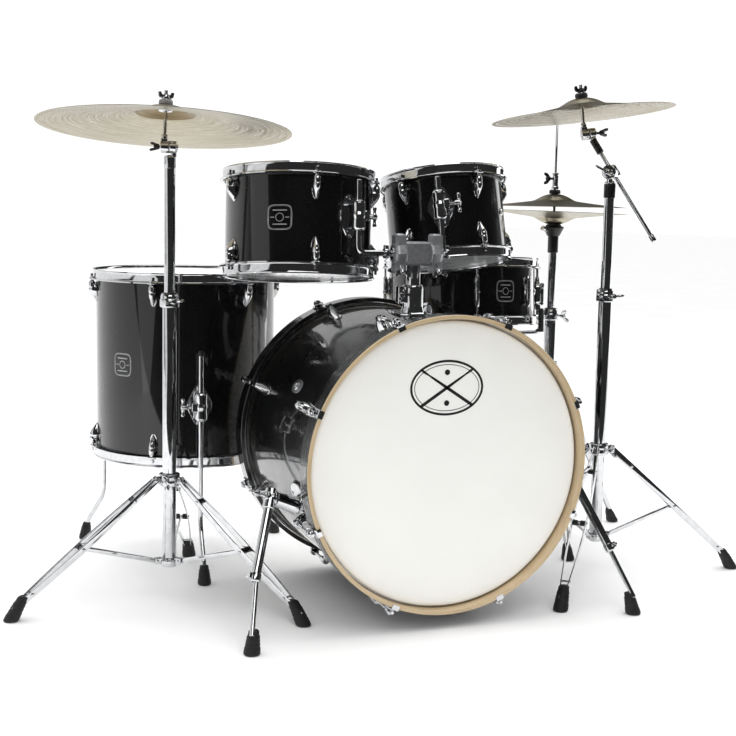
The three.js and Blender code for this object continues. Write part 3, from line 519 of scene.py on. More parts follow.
# %% Lathed bronze
def lathed_bronze(name, light, dark, roughness):
    """Bronze whose highlights stretch across the lathe rings, by anisotropy along the UV tangent."""
    material, tree, shader = finish(name, light, roughness, 1.0, {"Anisotropic": 0.55})
    place = add(tree, "ShaderNodeTexCoord").outputs["UV"]
    waves_per_metre = 1 / (2.2 * MM)
    grooves = add(tree, "ShaderNodeTexWave", {"Vector": place, "Scale": 2 * math.pi / 20 * waves_per_metre,
                                              "Distortion": 0.6, "Detail": 2.0}, bands_direction="Y")
    arcs = pattern(tree, 5, 3, (0.03, 1, 1), "UV")
    tree.links.new(blend(tree, arcs, light, dark, 0.25, 0.8), shader.inputs["Base Color"])
    tree.links.new(spread(tree, arcs, roughness - 0.06, roughness + 0.08), shader.inputs["Roughness"])
    both = add(tree, "ShaderNodeMath", {0: grooves.outputs[1], 1: pattern(tree, 14, 1)}, operation="ADD")
    raise_by(tree, shader, both.outputs[0], 0.10, 0.45)
    tangent = add(tree, "ShaderNodeTangent", direction_type="UV_MAP", uv_map="UVMap")
    tree.links.new(tangent.outputs[0], shader.inputs["Tangent"])
    return material


# %% [markdown]
# ### Rubber, plastic, felt and ink
# Moulded rubber feet are matt with a slight skin. Nylon sleeves and wing screws have a satin moulded grain.
# Felt is pressed wool: no gloss at all, fibres about 0.3 mm thick drawn at 1.1 mm, and a little sheen.

# %% Soft and moulded finishes
def moulded(name, light, dark, roughness, grain, depth, sockets=None):
    """A plain dull finish: grain mm between bumps of the given depth, and patches six grains wide."""
    material, tree, shader = finish(name, light, roughness, 0.0, sockets)
    tree.links.new(blend(tree, pattern(tree, grain * 6, 4), light, dark), shader.inputs["Base Color"])
    tree.links.new(spread(tree, pattern(tree, grain * 3, 3), roughness - 0.06, roughness + 0.06),
                   shader.inputs["Roughness"])
    raise_by(tree, shader, pattern(tree, grain, 4, rough=0.7), depth, 0.6)
    return material


WRAP, MAPLE, LACQUER = gloss_wrap(), maple_wood(), black_lacquer()
CHROME, ZINC, ALUMINIUM = chrome_plate(), cast_zinc(), brushed_aluminium()
COATED, GLOSSY = coated_film(), glossy_film()
BRONZE = lathed_bronze("lathed_bronze", "#aca591", "#998f78", 0.30)
BELL_BRONZE = lathed_bronze("raw_bell_bronze", "#948468", "#7c6c50", 0.34)
RUBBER = moulded("moulded_rubber", "#121212", "#1b1b1b", 0.62, 1.0, 0.12)
NYLON = moulded("black_nylon", "#0d0d0e", "#151516", 0.34, 0.8, 0.05, {"IOR": 1.53})
GREY_FELT = moulded("grey_felt", "#8c8a88", "#6f6d6c", 0.94, 1.1, 0.4, {"Sheen Weight": 0.4})
BLACK_FELT = moulded("black_felt", "#1d1d1d", "#121212", 0.94, 1.1, 0.4, {"Sheen Weight": 0.3})
INK = moulded("black_printing_ink", "#0e0e0e", "#161616", 0.45, 1.5, 0.02)
SILVER_INK = moulded("silver_printing_ink", "#b9babb", "#9fa0a1", 0.38, 1.5, 0.02, {"Metallic": 0.6})
print("finishes", len(bpy.data.materials))

# %% [markdown]
# ## A drum
# A drum is a ply shell under a plastic wrap, two film heads on aluminium rims, and two steel hoops that rods
# pull toward the lugs. A real shell is moulded from thin veneers, and its hoops are rolled from sheet. They
# could be cylinders with a bevel, but a turned outline gives the bearing edge, the film's curl and the hoop's
# flanges in one go. Lugs and rods repeat round the axis, so each is shaped once at angle zero and turned.

# %% Drum sizes and the body that each node moves with
bodies = frame["record"]["behaviour"]["bodies"]
body_of = {node: body for body, nodes in bodies.items() for node in nodes}
DRUMS = {
    "left_tom": {"radius": 152.4, "depth": 203.2, "lugs": 5, "first": 193.1, "badge": (238, 0)},
    "right_tom": {"radius": 127.0, "depth": 177.8, "lugs": 5, "first": 206.9, "badge": None},
    "floor_tom": {"radius": 203.2, "depth": 406.4, "lugs": 6, "first": 236.9, "badge": (214, 8)},
    "snare": {"radius": 177.8, "depth": 139.7, "lugs": 8, "first": 255.8, "badge": (280.0, 0)},
}
ROD_REACH = 11.0     # how far the tension rods stand out from the shell
LUG_DROP = 42.0      # from a bearing edge to the middle of a tom lug
UPRIGHT = np.array([[0, 0, 1, 0], [1, 0, 0, 0], [0, 1, 0, 0], [0, 0, 0, 1.0]])   # X to Y, Y to Z, Z to X
places = {}
for name, drum in DRUMS.items():
    edge = head_frame(f"{name}_top_head", (0, 0, 1), 1.6)
    places[name] = edge @ shift(z=-drum["depth"] / 2)
    print(name, "middle", places[name][:3, 3].round(1), "axis", places[name][:3, 2].round(3))


# %% Shell, heads and hoops
def sheet(line, thickness, corner=3.0):
    """The outline of a bent strip: its middle line moved half the thickness to each side."""
    line = rounded(line, corner, 6, closed=False)
    tangent = np.gradient(line, axis=0)
    tangent /= np.linalg.norm(tangent, axis=1, keepdims=True)
    normal = np.c_[-tangent[:, 1], tangent[:, 0]] * thickness / 2
    return np.concatenate([line + normal, (line - normal)[::-1]])


def mirrored(outline, side):
    """A turned outline for the top (side 1) or upside down for the bottom (side -1)."""
    outline = np.array(outline, float)
    outline[:, 1] *= side
    return outline


def shell_and_wrap(radius, half, wall=6.0, wrap=0.8, inset=6.0):
    """The ply tube with its bearing edges cut to 45 degrees, and the wrap round it."""
    ply = [(radius - wall, 3 - half), (radius - wall / 2, -half), (radius - wrap, wall / 2 - half),
           (radius - wrap, half - wall / 2), (radius - wall / 2, half), (radius - wall, half - 3)]
    skin = [(radius - wrap, inset - half), (radius, inset - half + 0.3), (radius, half - inset - 0.3),
            (radius - wrap, half - inset)]
    return lathe(rounded(ply, 0.8, 3), 128), lathe(skin, 128)


def head_skin(radius, edge, side):
    """The film: flat, then a tight curve over the bearing edge and down into its rim, 0.5 mm thick."""
    line = [(0.0, edge + 0.75), (radius - 9, edge + 0.75), (radius - 3, edge + 0.7),
            (radius + 1.6, edge - 0.6), (radius + 2.5, edge - 7.5)]
    return lathe(mirrored(sheet(line, 0.5, 2.0), side), 128)


def head_rim(radius, edge, side, out=3.6):
    """The aluminium channel that grips the film, just outside the shell."""
    outline = rounded([(radius + 1.4, edge - 11), (radius + out, edge - 11), (radius + out, edge - 5.6),
                       (radius + 1.4, edge - 5.6)], 0.9, 4)
    return lathe(mirrored(outline, side), 128)


def flanged_hoop(radius, edge, side, angles):
    """Triple-flanged steel: an outward foot that the rods pull on, an upright wall and a curled lip."""
    line = [(radius + 13.6, edge - 12.6), (radius + 8, edge - 12.6), (radius + 5.6, edge - 10),
            (radius + 5.6, edge + 4.7), (radius + 6.4, edge + 8.2), (radius + 8.8, edge + 8.5)]
    ear = plate(oblong(13, 21, 2.6), edge - 14.4, edge - 10.6, 1.0)
    ears = [moved(ear, spin(a), shift(radius + ROD_REACH, 0, 0)) for a in angles]
    turn_over = np.diag([1, 1, side, 1.0])
    return [lathe(mirrored(sheet(line, 2.3), side), 128)] + placed(ears, turn_over)


# %% [markdown]
# ### Lugs and tension rods
# A tom lug is a die-cast teardrop: its width and depth follow sine curves along its length, with the fat end
# toward the rod. Its swivel nut stands out of that end. The snare's lugs are one long spindle with a nut at
# both ends. Rods have a square key head over a washer.

# %% Lugs and rods
def teardrop(length, width, depth, fat=0.62, steps=28, rows=18):
    """A cast case on a wall at x = 0: along z its girth is sin(pi s), s running faster to the fat end."""
    t = np.linspace(0, 1, rows)
    girth = np.sin(np.pi * t ** (math.log(0.5) / math.log(fat))) ** 0.72
    u = np.linspace(0, 2 * np.pi, steps, endpoint=False)[:, None]
    x = np.where(np.cos(u) > 0, depth, 2.0) * np.cos(u) * girth
    points = np.stack([x, width / 2 * np.sin(u) * girth, length * (t - 0.5) + 0 * u], -1)
    return grid(points, True, False, (3 * width, length))


def tom_lug(radius):
    """Foot plate, case, swivel nut and the collar on top of the nut."""
    foot = on_shell(moved(plate(oblong(17, 44, 2.2), -0.4, 1.6, 0.7), UPRIGHT), radius)
    case = moved(teardrop(46, 18.5, 17.5), shift(radius + 0.6))
    nut = lathe([(0, 9), (6.4, 9), (7.0, 11), (7.0, 21), (5.4, 24), (0, 24)], 28)
    collar = lathe([(0, 23), (4.6, 23), (4.6, 26.2), (0, 26.2)], 20)
    return [foot, case, *placed([nut, collar], shift(radius + ROD_REACH))]


def snare_lug(radius):
    """Foot plate and long case, with a spindle nut for both rods and a band round its middle."""
    foot = on_shell(moved(plate(oblong(12, 70, 2.2), -0.4, 1.4, 0.6), UPRIGHT), radius)
    case = moved(teardrop(72, 13, 15.5, 0.5), shift(radius + 0.4))
    nut = lathe([(0, -37), (3.6, -37), (4.8, -35), (5.4, -20),
                 (5.4, 20), (4.8, 35), (3.6, 37), (0, 37)], 24)
    band = lathe(rounded([(5.0, -4), (6.6, -4), (6.6, 4), (5.0, 4)], 1.2, 4), 24)
    return [foot, case, *placed([nut, band], shift(radius + ROD_REACH))]


def thread_rings(bottom, top, half_pitch, crest, root):
    """A stretch of thread as rings, going out to the crest and in to the root every half pitch."""
    height = np.arange(bottom, top, half_pitch)
    ridge = np.where(np.arange(len(height)) % 2 == 0, crest, root)
    return lathe(np.r_[[(0, height[0])], np.c_[ridge, height], [(0, height[-1])]], 14)


def tension_rod(edge, lug_end):
    """Square key head, flange, washer, rod and thread, along z above a lug."""
    head = moved(block(5.4, 5.4, 7.2, 0.6, 0.7), shift(z=edge - 3.6))
    flange = lathe([(0, edge - 9.2), (4.9, edge - 9.2), (4.9, edge - 8), (3.6, edge - 7), (0, edge - 7)], 24)
    washer = lathe([(2.6, edge - 10.5), (6.0, edge - 10.5), (6.0, edge - 9.3), (2.6, edge - 9.3)], 28)
    shank = lathe([(0, lug_end), (2.9, lug_end), (2.9, edge - 8), (0, edge - 8)], 18)
    return [head, flange, washer, shank, thread_rings(lug_end + 1, lug_end + 11, 0.6, 3.0, 2.6)]


def badge(radius):
    """A plain printed badge: two rounded square lines, a ring in the middle and four short bars."""
    outer = np.c_[oblong(49, 49, 5.0, 64), np.zeros(64)]
    inner = np.c_[oblong(45.5, 45.5, 5.0, 64), np.zeros(64)]
    ring = np.c_[circle(8, 48), np.zeros(48)]
    lines = [outline_strip(o, w) for o, w in ((outer, 1.5), (inner, 0.7), (ring, 1.5))]
    bars = [moved(plate(oblong(30, 2.4, 6), 0, 0.3, 0.1), shift(y=y)) for y in (14, -14)]
    side_bars = [moved(plate(oblong(9, 1.8, 6), 0, 0.3, 0.1), shift(x)) for x in (15.5, -15.5)]
    return [on_shell(moved(s, UPRIGHT), radius + 0.05) for s in lines + bars + side_bars]


def outline_strip(path, width):
    """A flat printed line 0.3 mm high that follows a closed path in the plane z = 0."""
    middle = path.mean(0)
    out = unit_rows(path - middle) * width / 2
    low, high = np.array([0, 0, 0.0]), np.array([0, 0, 0.3])
    points = np.stack([path - out + low, path + out + low, path + out + high, path - out + high], 1)
    return grid(points, True, True, (np.abs(path).max() * 6, 2 * width))


def unit_rows(v):
    """Every row at length 1."""
    return v / np.linalg.norm(v, axis=1, keepdims=True)


# %% The four upright drums
def dress_drum(name, drum):
    """Every piece that stays on one drum: shell, wrap, lugs, then hoop, rods and head for each side."""
    radius, half = drum["radius"], drum["depth"] / 2
    place, body = places[name], body_of[f"{name}_shell"]
    angles = around(drum["lugs"], drum["first"])
    ply, wrap = shell_and_wrap(radius, half)
    build(f"{name}_ply_shell", placed([ply], place), MAPLE, body, [f"{name}_shell"])
    build(f"{name}_wrap", placed([wrap], place), WRAP, body)
    if name == "snare":
        lug, lug_middle, lug_top, rows = snare_lug(radius), 0, 36, [1]
    else:
        lug, lug_middle, lug_top, rows = tom_lug(radius), half - LUG_DROP, half - 18, [1, -1]
    lugs = [moved(s, place, np.diag([1, 1, row, 1.0]), spin(a), shift(z=lug_middle))
            for a in angles for row in rows for s in lug]
    build(f"{name}_lugs", lugs, CHROME, body)
    for side, level in ((1, "top"), (-1, "bottom")):
        flip = np.diag([1, 1, side, 1.0])
        build(f"{name}_{level}_rim", placed(flanged_hoop(radius, half, side, angles), place),
              CHROME, body, [f"{name}_{level}_hoop"])
        rods = [moved(s, place, flip, spin(a), shift(radius + ROD_REACH))
                for a in angles for s in tension_rod(half, lug_top)]
        build(f"{name}_{level}_rods", rods, CHROME, body)
        film = placed([head_skin(radius, half, side)], place)
        if level == "top":
            build(f"{name}_{level}_skin", film, COATED, body, [f"{name}_top_head"])
        else:
            build(f"{name}_{level}_skin", film, GLOSSY, body)
        build(f"{name}_{level}_head_rim", placed([head_rim(radius, half, side)], place), ALUMINIUM, body)
    if drum["badge"]:
        angle, lift = drum["badge"]
        build(f"{name}_badge", placed(badge(radius), place, spin(angle), shift(z=lift)), SILVER_INK, body)
    vent = lathe(rounded([(4, -1), (8, -1), (8.5, 0.6), (7, 2), (4.6, 2), (4, 0.6)], 0.6, 3), 32)
    half_way = angles[0] + 540 / drum["lugs"]
    vent = placed([vent], place, spin(half_way), shift(radius), UPRIGHT)
    build(f"{name}_vent", vent, CHROME, body)


for name, drum in DRUMS.items():
    dress_drum(name, drum)

# %% [markdown]
# ## The bass drum
# The same parts lie on their side here, and are bigger. Its hoops are bent maple, 44 mm wide and 9 mm thick,
# held by eight claws a side. A claw is a strap bent over the hoop's edge, with a boss for the rod.

# %% Bass drum shell, hoops and heads
BASS = {"radius": 279.4, "half": 228.6, "face": 249.7, "hoop": 295.0, "inner": 286.0, "width": 44.0,
        "lugs": 8, "first": 22.5, "rod": 304.0, "lug": 138.0}
bass_edge = head_frame("bass_front_head", (0, -1, 0), 2.0)
bass = bass_edge @ shift(z=-BASS["half"])
bass_angles = around(BASS["lugs"], BASS["first"])
print("bass drum middle", bass[:3, 3].round(1), "faces", bass[:3, 2].round(3))


def bass_hoop(side):
    """Two bodies: the bare maple ring and the black lacquered skin on its outer and rear faces."""
    face, back = BASS["face"], BASS["face"] - BASS["width"]
    inner, outer = BASS["inner"], BASS["hoop"]
    core = rounded([(inner, back + 0.6), (outer - 0.7, back + 0.6), (outer - 0.7, face), (inner, face)],
                   1.6, 5)
    skin = [(inner + 0.4, back), (outer - 1, back), (outer, back + 1), (outer, face - 2.6),
            (outer - 0.8, face - 1.6), (outer - 0.8, back + 0.8), (inner + 0.4, back + 0.8)]
    return lathe(mirrored(core, side), 180), lathe(mirrored(skin, side), 180)


def claw():
    """A strap 20 mm wide that hooks over the hoop, a boss for the rod and the key head in front of it."""
    face, r = BASS["face"], BASS["hoop"]
    route = rounded([(r - 8, 0, face + 1.6), (r + 2.2, 0, face + 1.6), (r + 2.2, 0, face - 22),
                     (r + 9, 0, face - 30)], 3.0, 6, closed=False)
    section = rounded([(-1.4, -10), (1.4, -10), (1.4, 10), (-1.4, 10)], 1.2, 4)
    strap = sweep(route, section, np.linspace(0.8, 1.0, len(route)), (0, 1, 0))
    boss = moved(lathe([(3.4, -26), (7.5, -26), (8.0, -24), (8.0, -16), (6.5, -13), (3.4, -13)], 28),
                 shift(BASS["rod"], 0, face))
    web = moved(block(10, 13, 12, 3, 1.2), shift(r + 4.5, 0, face - 20))
    head = moved(block(6, 6, 8, 0.8, 0.8), shift(BASS["rod"], 0, face - 6))
    flange = moved(lathe([(0, -12.8), (5.4, -12.8), (5.4, -11), (3.8, -9.8), (0, -9.8)], 24),
                   shift(BASS["rod"], 0, face))
    return [strap, boss, web, head, flange]


def claw_rod():
    """Rod with the thread near the lug."""
    bottom, top = BASS["lug"] + 20, BASS["face"] - 14
    thread = thread_rings(bottom + 8, bottom + 26, 0.7, 3.4, 2.9)
    shank = lathe([(0, bottom), (3.0, bottom), (3.0, top), (0, top)], 18)
    return placed([thread, shank], shift(BASS["rod"]))


def bass_lug():
    """Foot, rounded case and a stub tube for the rod."""
    foot = on_shell(moved(plate(oblong(25, 56, 2.3), -0.4, 2.2, 0.8), UPRIGHT), BASS["radius"])
    case = moved(teardrop(52, 22, 27, 0.6), shift(BASS["radius"] + 0.6))
    nut = moved(lathe([(0, 4), (7.0, 4), (7.6, 6), (7.6, 24), (6, 27), (0, 27)], 28), shift(BASS["rod"]))
    return placed([foot, case, nut], shift(z=BASS["lug"]))


ply, wrap = shell_and_wrap(BASS["radius"], BASS["half"], 7.0)
build("bass_ply_shell", placed([ply], bass), MAPLE, "kit", ["bass_shell"])
build("bass_wrap", placed([wrap], bass), WRAP, "kit")
for side, level in ((1, "front"), (-1, "rear")):
    flip = np.diag([1, 1, side, 1.0])
    core, lacquer = placed(bass_hoop(side), bass)
    build(f"bass_{level}_hoop_maple", [core], MAPLE, "kit", [f"bass_{level}_hoop"])
    build(f"bass_{level}_hoop_lacquer", [lacquer], LACQUER, "kit")
    film = placed([head_skin(BASS["radius"], BASS["half"], side)], bass)
    build(f"bass_{level}_skin", film, COATED, "kit", ["bass_front_head"] if level == "front" else [])
    build(f"bass_{level}_head_rim", placed([head_rim(BASS["radius"], BASS["half"], side, 5.6)], bass),
          ALUMINIUM, "kit")
    for label, shapes in (("claws", claw()), ("claw_rods", claw_rod()), ("lugs", bass_lug())):
        group = [moved(s, bass, flip, spin(a)) for a in bass_angles for s in shapes]
        build(f"bass_{level}_{label}", group, CHROME, "kit")

# %% [markdown]
# ### Emblem and vent
# The front head carries a plain printed emblem: two oval rings, two crossed sticks and two dots. They are
# thin plates 0.3 mm high, as screen ink in thick layers is. The shell has a vent in a small oval plate.

# %% Emblem and vent plate
def drumstick():
    """Half widths along the stick, 132 mm long: a thick butt, a long taper, a thin neck and a round tip."""
    along = np.array([0, 2, 60, 100, 117, 121, 125, 129, 132]) - 66
    half = np.array([1.6, 3.1, 3.1, 2.2, 1.3, 1.7, 2.5, 2.1, 0.6])
    outline = np.concatenate([np.c_[along, half], np.c_[along, -half][::-1]])
    return plate(outline, 0, 0.3, 0.1)


oval = np.c_[oblong(150, 104, 2.0, 96), np.zeros(96)]
thin_oval = np.c_[oblong(136, 90, 2.0, 96), np.zeros(96)]
emblem = [outline_strip(oval, 4.6), outline_strip(thin_oval, 1.4)]
emblem += [moved(drumstick(), spin(angle)) for angle in (33, 147)]
emblem += [moved(plate(circle(5.5, 32), 0, 0.3, 0.1), shift(y=y)) for y in (-30, 30)]
EMBLEM_RIGHT, EMBLEM_UP = -6, 152
build("bass_emblem", placed(emblem, bass_edge, shift(EMBLEM_RIGHT, EMBLEM_UP, 1.0)), INK, "kit")
vent_ring = lathe(rounded([(5, -1), (9, -1), (9.5, 1), (8, 2.6), (5.6, 2.6), (5, 1)], 0.7, 3), 32)
vent_plate = on_shell(moved(plate(oblong(30, 52, 2.2), -0.3, 1.0, 0.4), UPRIGHT), BASS["radius"])
vent_way = bass @ spin(151) @ shift(z=30)
build("bass_vent_plate", placed([vent_plate], vent_way), ALUMINIUM, "kit")
build("bass_vent", placed([vent_ring], vent_way, shift(BASS["radius"] + 1), UPRIGHT), CHROME, "kit")
print("drum pieces", len(made))

# %% [markdown]
# ## Small hardware
# Wing bolts, T bolts, rivets and rubber feet appear everywhere, so each is one function in its own frame:
# the screw runs up Z and ends in the part that the hand turns.

# %% Wing bolts, T bolts, rivets and feet
def threaded(bottom, top, radius, pitch=1.2):
    """A screw drawn as rings: the radius goes in and out every half pitch."""
    height = np.arange(bottom + 0.6, top - 0.6, pitch / 2)
    ridge = np.where(np.arange(len(height)) % 2 == 0, radius, radius - 0.5)
    return lathe(np.r_[[(0, bottom), (radius - 0.6, bottom)], np.c_[ridge, height],
                       [(radius - 0.6, top), (0, top)]], 18)


def wing_bolt(length, spread=17.0, radius=3.2):
    """Screw, hub and two wings that rise away from the screw."""
    wing = rounded([(2, -4.5), (0.5 * spread, -3.5), (spread - 2, 3), (spread, 12), (0.62 * spread, 13),
                    (4, 5)], 3.0, 5)
    blade = moved(plate(wing, -2.2, 2.2, 1.2), shift(z=length), spin(90, 0))
    hub = lathe(rounded([(0, length - 6), (5.0, length - 6), (6.4, length - 1), (5.0, length + 5),
                         (0, length + 5)], 1.5, 4), 24)
    return [threaded(0, length - 4, radius), hub, blade, moved(blade, spin(180))]


def t_bolt(length, bar_length=40.0):
    """A screw ending in a cross bar that swells toward its middle and its ends."""
    t = np.linspace(-1, 1, 13)
    girth = 4.0 + 1.1 * np.cos(t * 2 * np.pi) - 1.3 * np.abs(t) ** 8
    handle = tube(np.c_[0 * t, t * bar_length / 2, np.full(13, length)], girth, 20, 1.5)
    hub = lathe(rounded([(0, length - 9), (5.2, length - 9), (6.2, length + 3), (0, length + 5)], 1.2, 4), 24)
    return [threaded(0, length - 5, 3.4), hub, handle]


def rivet(radius=4.2, height=2.0):
    """A flat dome on a plane."""
    return lathe([(0, -0.5), (radius, -0.5), (radius, 0.3), (radius * 0.86, height * 0.6),
                  (radius * 0.5, height * 0.93), (0, height)], 20)


def rubber_foot(bottom, top, height, lean=0.0):
    """A moulded foot: a flat sole with a round lip, ribs round its waist, and a neck that leans by lean."""
    outline = [(0, 0.2), (bottom - 2.5, 0), (bottom, 2.5), (bottom - 0.2, 7)]
    for level in np.linspace(0.3, 0.72, 4):
        reach = bottom + (top - bottom) * level
        outline += [(reach + 0.7, height * level), (reach - 0.5, height * (level + 0.05))]
    outline += [(top, height * 0.82), (top - 0.4, height - 2), (top - 2.6, height), (0, height)]
    points, quads, flat = lathe(rounded(outline, 1.2, 3), 40)
    slide = lean * (points[:, 2] / height) ** 1.1
    return points - np.c_[slide, 0 * slide, 0 * slide], quads, flat


# %% [markdown]
# ## Spurs
# Each spur is a hub that clamps on a mount, a stout upper tube, and a thin rod that telescopes into it and
# ends in a rubber foot. The spur leans forward and out, so rather than by angles it is drawn from its joint
# straight toward the foot in the frame, and the same code serves both sides.

# %% Bass drum spurs
def spur(name, side):
    """One leg of the bass drum: hub, tube, clamp ring, rod, foot and wing bolt, all riding on the spur."""
    pivot, hinge = joint_point(f"{name}_fold"), joint_axis(f"{name}_fold")
    outward = hinge * side * np.sign(hinge[0])
    points = cad_points(name)
    sole = points[points[:, 2] < 1.0].mean(0)
    down = unit(sole - pivot)
    start = pivot + outward * 21
    knee = start + down * 165
    end = np.array([sole[0], sole[1], 34.0])
    hub = frame_at(pivot, outward, down)
    disc = lathe(rounded([(0, 10), (14, 10), (14, 20), (12, 23), (12, 30), (9, 33), (0, 33)], 1.4, 4), 36)
    tooth = block(1.6, 3.0, 5, 0.4, 0.3)
    ratchet = [moved(tooth, hub, spin(a), shift(14, 0, 13)) for a in around(30, 0)]
    socket = tube([start - down * 17, start + down * 24], 12.2, 28, 1.5)
    build(f"{name}_hub", [moved(disc, hub), *ratchet, socket], CHROME, name, [name])
    build(f"{name}_tube", [tube([start, knee], 9.4, 32, 0.8)], CHROME, name)
    collar = frame_at(knee, down, outward)
    ring = lathe(rounded([(5.4, -12), (10.6, -12), (10.6, 2), (8.5, 5), (5.4, 5)], 1.2, 4), 36)
    ear = moved(block(8, 10, 12, 2, 1), shift(11.5, 0, -5))
    key_shank = lathe([(0, 0), (2.6, 0), (2.6, 6), (0, 6)], 16)
    key_head = moved(block(5, 5, 6, 0.6, 0.6), shift(z=8))
    key_bolt = placed([key_shank, key_head], collar, shift(11.5, 4, -5), spin(-90, 0))
    build(f"{name}_clamp", placed([ring, ear], collar) + key_bolt, CHROME, name)
    build(f"{name}_rod", [tube([knee - down * 20, end], 4.9, 24)], CHROME, name)
    foot = frame_at((sole[0], sole[1], 0), (0, 0, 1), (*down[:2], 0))
    build(f"{name}_foot", placed([rubber_foot(15.8, 10.4, 43, 12)], foot), RUBBER, name)
    wing = placed(wing_bolt(20, 19), frame_at(pivot + outward * 30, outward, down), spin(70))
    build(f"{name}_wing_bolt", wing, CHROME, name)
    mount(name, pivot, outward)


def mount(name, pivot, outward):
    """Gasket, foot plate and boss on the bass drum's shell."""
    local = np.linalg.inv(bass) @ np.r_[pivot, 1]
    angle = math.degrees(math.atan2(local[1], local[0]))
    at = bass @ spin(angle) @ shift(z=local[2])
    gasket = on_shell(moved(plate(oblong(56, 74, 2.4, 48), -0.4, 1.6, 0.8), UPRIGHT), BASS["radius"])
    build(f"{name}_gasket", placed([gasket], at), RUBBER, "kit")
    foot = on_shell(moved(plate(oblong(50, 68, 2.4, 48), 1.6, 6, 1.5), UPRIGHT), BASS["radius"])
    boss = tube([pivot - outward * 38, pivot - outward * 8, pivot + outward * 9.4], [19, 15, 14], 32, 1.2)
    screw = on_shell(moved(rivet(4.0, 2.2), UPRIGHT), BASS["radius"] + 5.6)
    screws = [moved(screw, at, shift(z=z)) for z in (-26, 26)]
    build(f"{name}_mount", [moved(foot, at), boss, *screws], CHROME, "kit")


spur("left_spur", -1)
spur("right_spur", 1)

# %% [markdown]
# ## Tom holder, arms and brackets
# A post stands in a collar on the bass drum. Its cast head clamps two L-shaped rods, and each rod rises
# through a bracket on its tom. The castings are bevelled blocks and turned barrels that run into each other,
# as the real ones do. Where a rod is comes from the frame: the top ring of the arm's own points.

# %% Tom holder
clamp_points = [joint_point("left_tom_arm_tilt"), joint_point("right_tom_arm_tilt")]
holder_at = (clamp_points[0] + clamp_points[1]) / 2
POST_BACK = 14.0
post_at = holder_at + (0, POST_BACK, 0)
holder = frame_at(holder_at)

head_block = moved(block(60, 40, 48, 9, 4), shift(y=POST_BACK / 2))
barrels, rings, locks = [], [], []
for side in (-1, 1):
    turn = shift(side * 26) @ spin(90 * side, 1)
    barrel = lathe(rounded([(7.6, 0), (22, 0), (24, 3), (24, 20), (20.5, 26), (7.6, 26)], 2.0, 4), 8)
    ring = lathe(rounded([(6.8, 25.5), (12, 25.5), (12, 29), (6.8, 29)], 0.8, 3), 32)
    jaw = moved(block(21, 31, 80, 7, 4), holder, shift(side * 40))
    seam = moved(block(23, 2.2, 74, 1, 0.5), holder, shift(side * 40, -15))
    barrels += [moved(barrel, holder, turn), jaw, seam]
    rings.append(moved(ring, holder, turn))
    lock_at = frame_at(holder_at + (side * 38, -12, -20), (0.1 * side, -0.62, -0.8))
    locks += placed(wing_bolt(20, 17), lock_at)
casting = [moved(head_block, holder), *barrels]
build("tom_holder_casting", casting, ZINC, "tom_post", ["tom_post"], 25)
build("tom_holder_rings", rings, CHROME, "tom_post")
build("tom_holder_wing_bolts", locks, CHROME, "tom_post")
post = lathe(rounded([(11, -196), (14.5, -196), (14.5, -20), (11, -20)], 0.8, 3), 48)
build("tom_post_tube", placed([post], frame_at(post_at)), CHROME, "tom_post")

base_top = BASS["radius"] + 60
post_in_bass = np.linalg.inv(bass) @ np.r_[post_at, 1]
on_top = bass @ spin(90) @ shift(z=post_in_bass[2])     # X now points straight up out of the shell
plate_shape = on_shell(moved(plate(oblong(74, 94, 2.6, 48), -0.4, 5.2, 1.6), UPRIGHT), BASS["radius"])
gasket = on_shell(moved(plate(oblong(80, 100, 2.6, 48), -0.5, 1.2, 0.5), UPRIGHT), BASS["radius"])
build("tom_base_gasket", placed([gasket], on_top), RUBBER, "kit")
socket = frame_at((post_at[0], post_at[1], bass[2, 3]))
collar = lathe(rounded([(15.0, BASS["radius"] - 4), (25, BASS["radius"] + 2), (21.5, BASS["radius"] + 14),
                        (21.5, base_top - 6), (19.5, base_top), (15.0, base_top)], 2.0, 4), 48)
split = moved(block(22, 20, 34, 3, 1.5), socket, shift(-26, -4, BASS["radius"] + 40))
screws = [moved(rivet(4.4, 2.4), on_top, shift(BASS["radius"] + 4.2, 0, z), UPRIGHT) for z in (-37, 37)]
base = [moved(plate_shape, on_top), moved(collar, socket), split, *screws]
build("tom_base", base, CHROME, "kit")
lock = frame_at(socket[:3, 3] + (-30, -10, BASS["radius"] + 40), (-0.35, -1, 0))
build("tom_base_wing_bolt", placed(wing_bolt(24, 19), lock, spin(70)), CHROME, "kit")


# %% Rod brackets
def rod_spot(node, place):
    """Reach, angle and top, in a drum's frame, of the upright rod that ends in the node's highest points."""
    points = cad_points(node)
    points = np.c_[points, np.ones(len(points))] @ np.linalg.inv(place).T
    top = points[points[:, 2] > points[:, 2].max() - 0.5].mean(0)
    return math.hypot(top[0], top[1]), math.degrees(math.atan2(top[1], top[0])), points[:, 2].max()


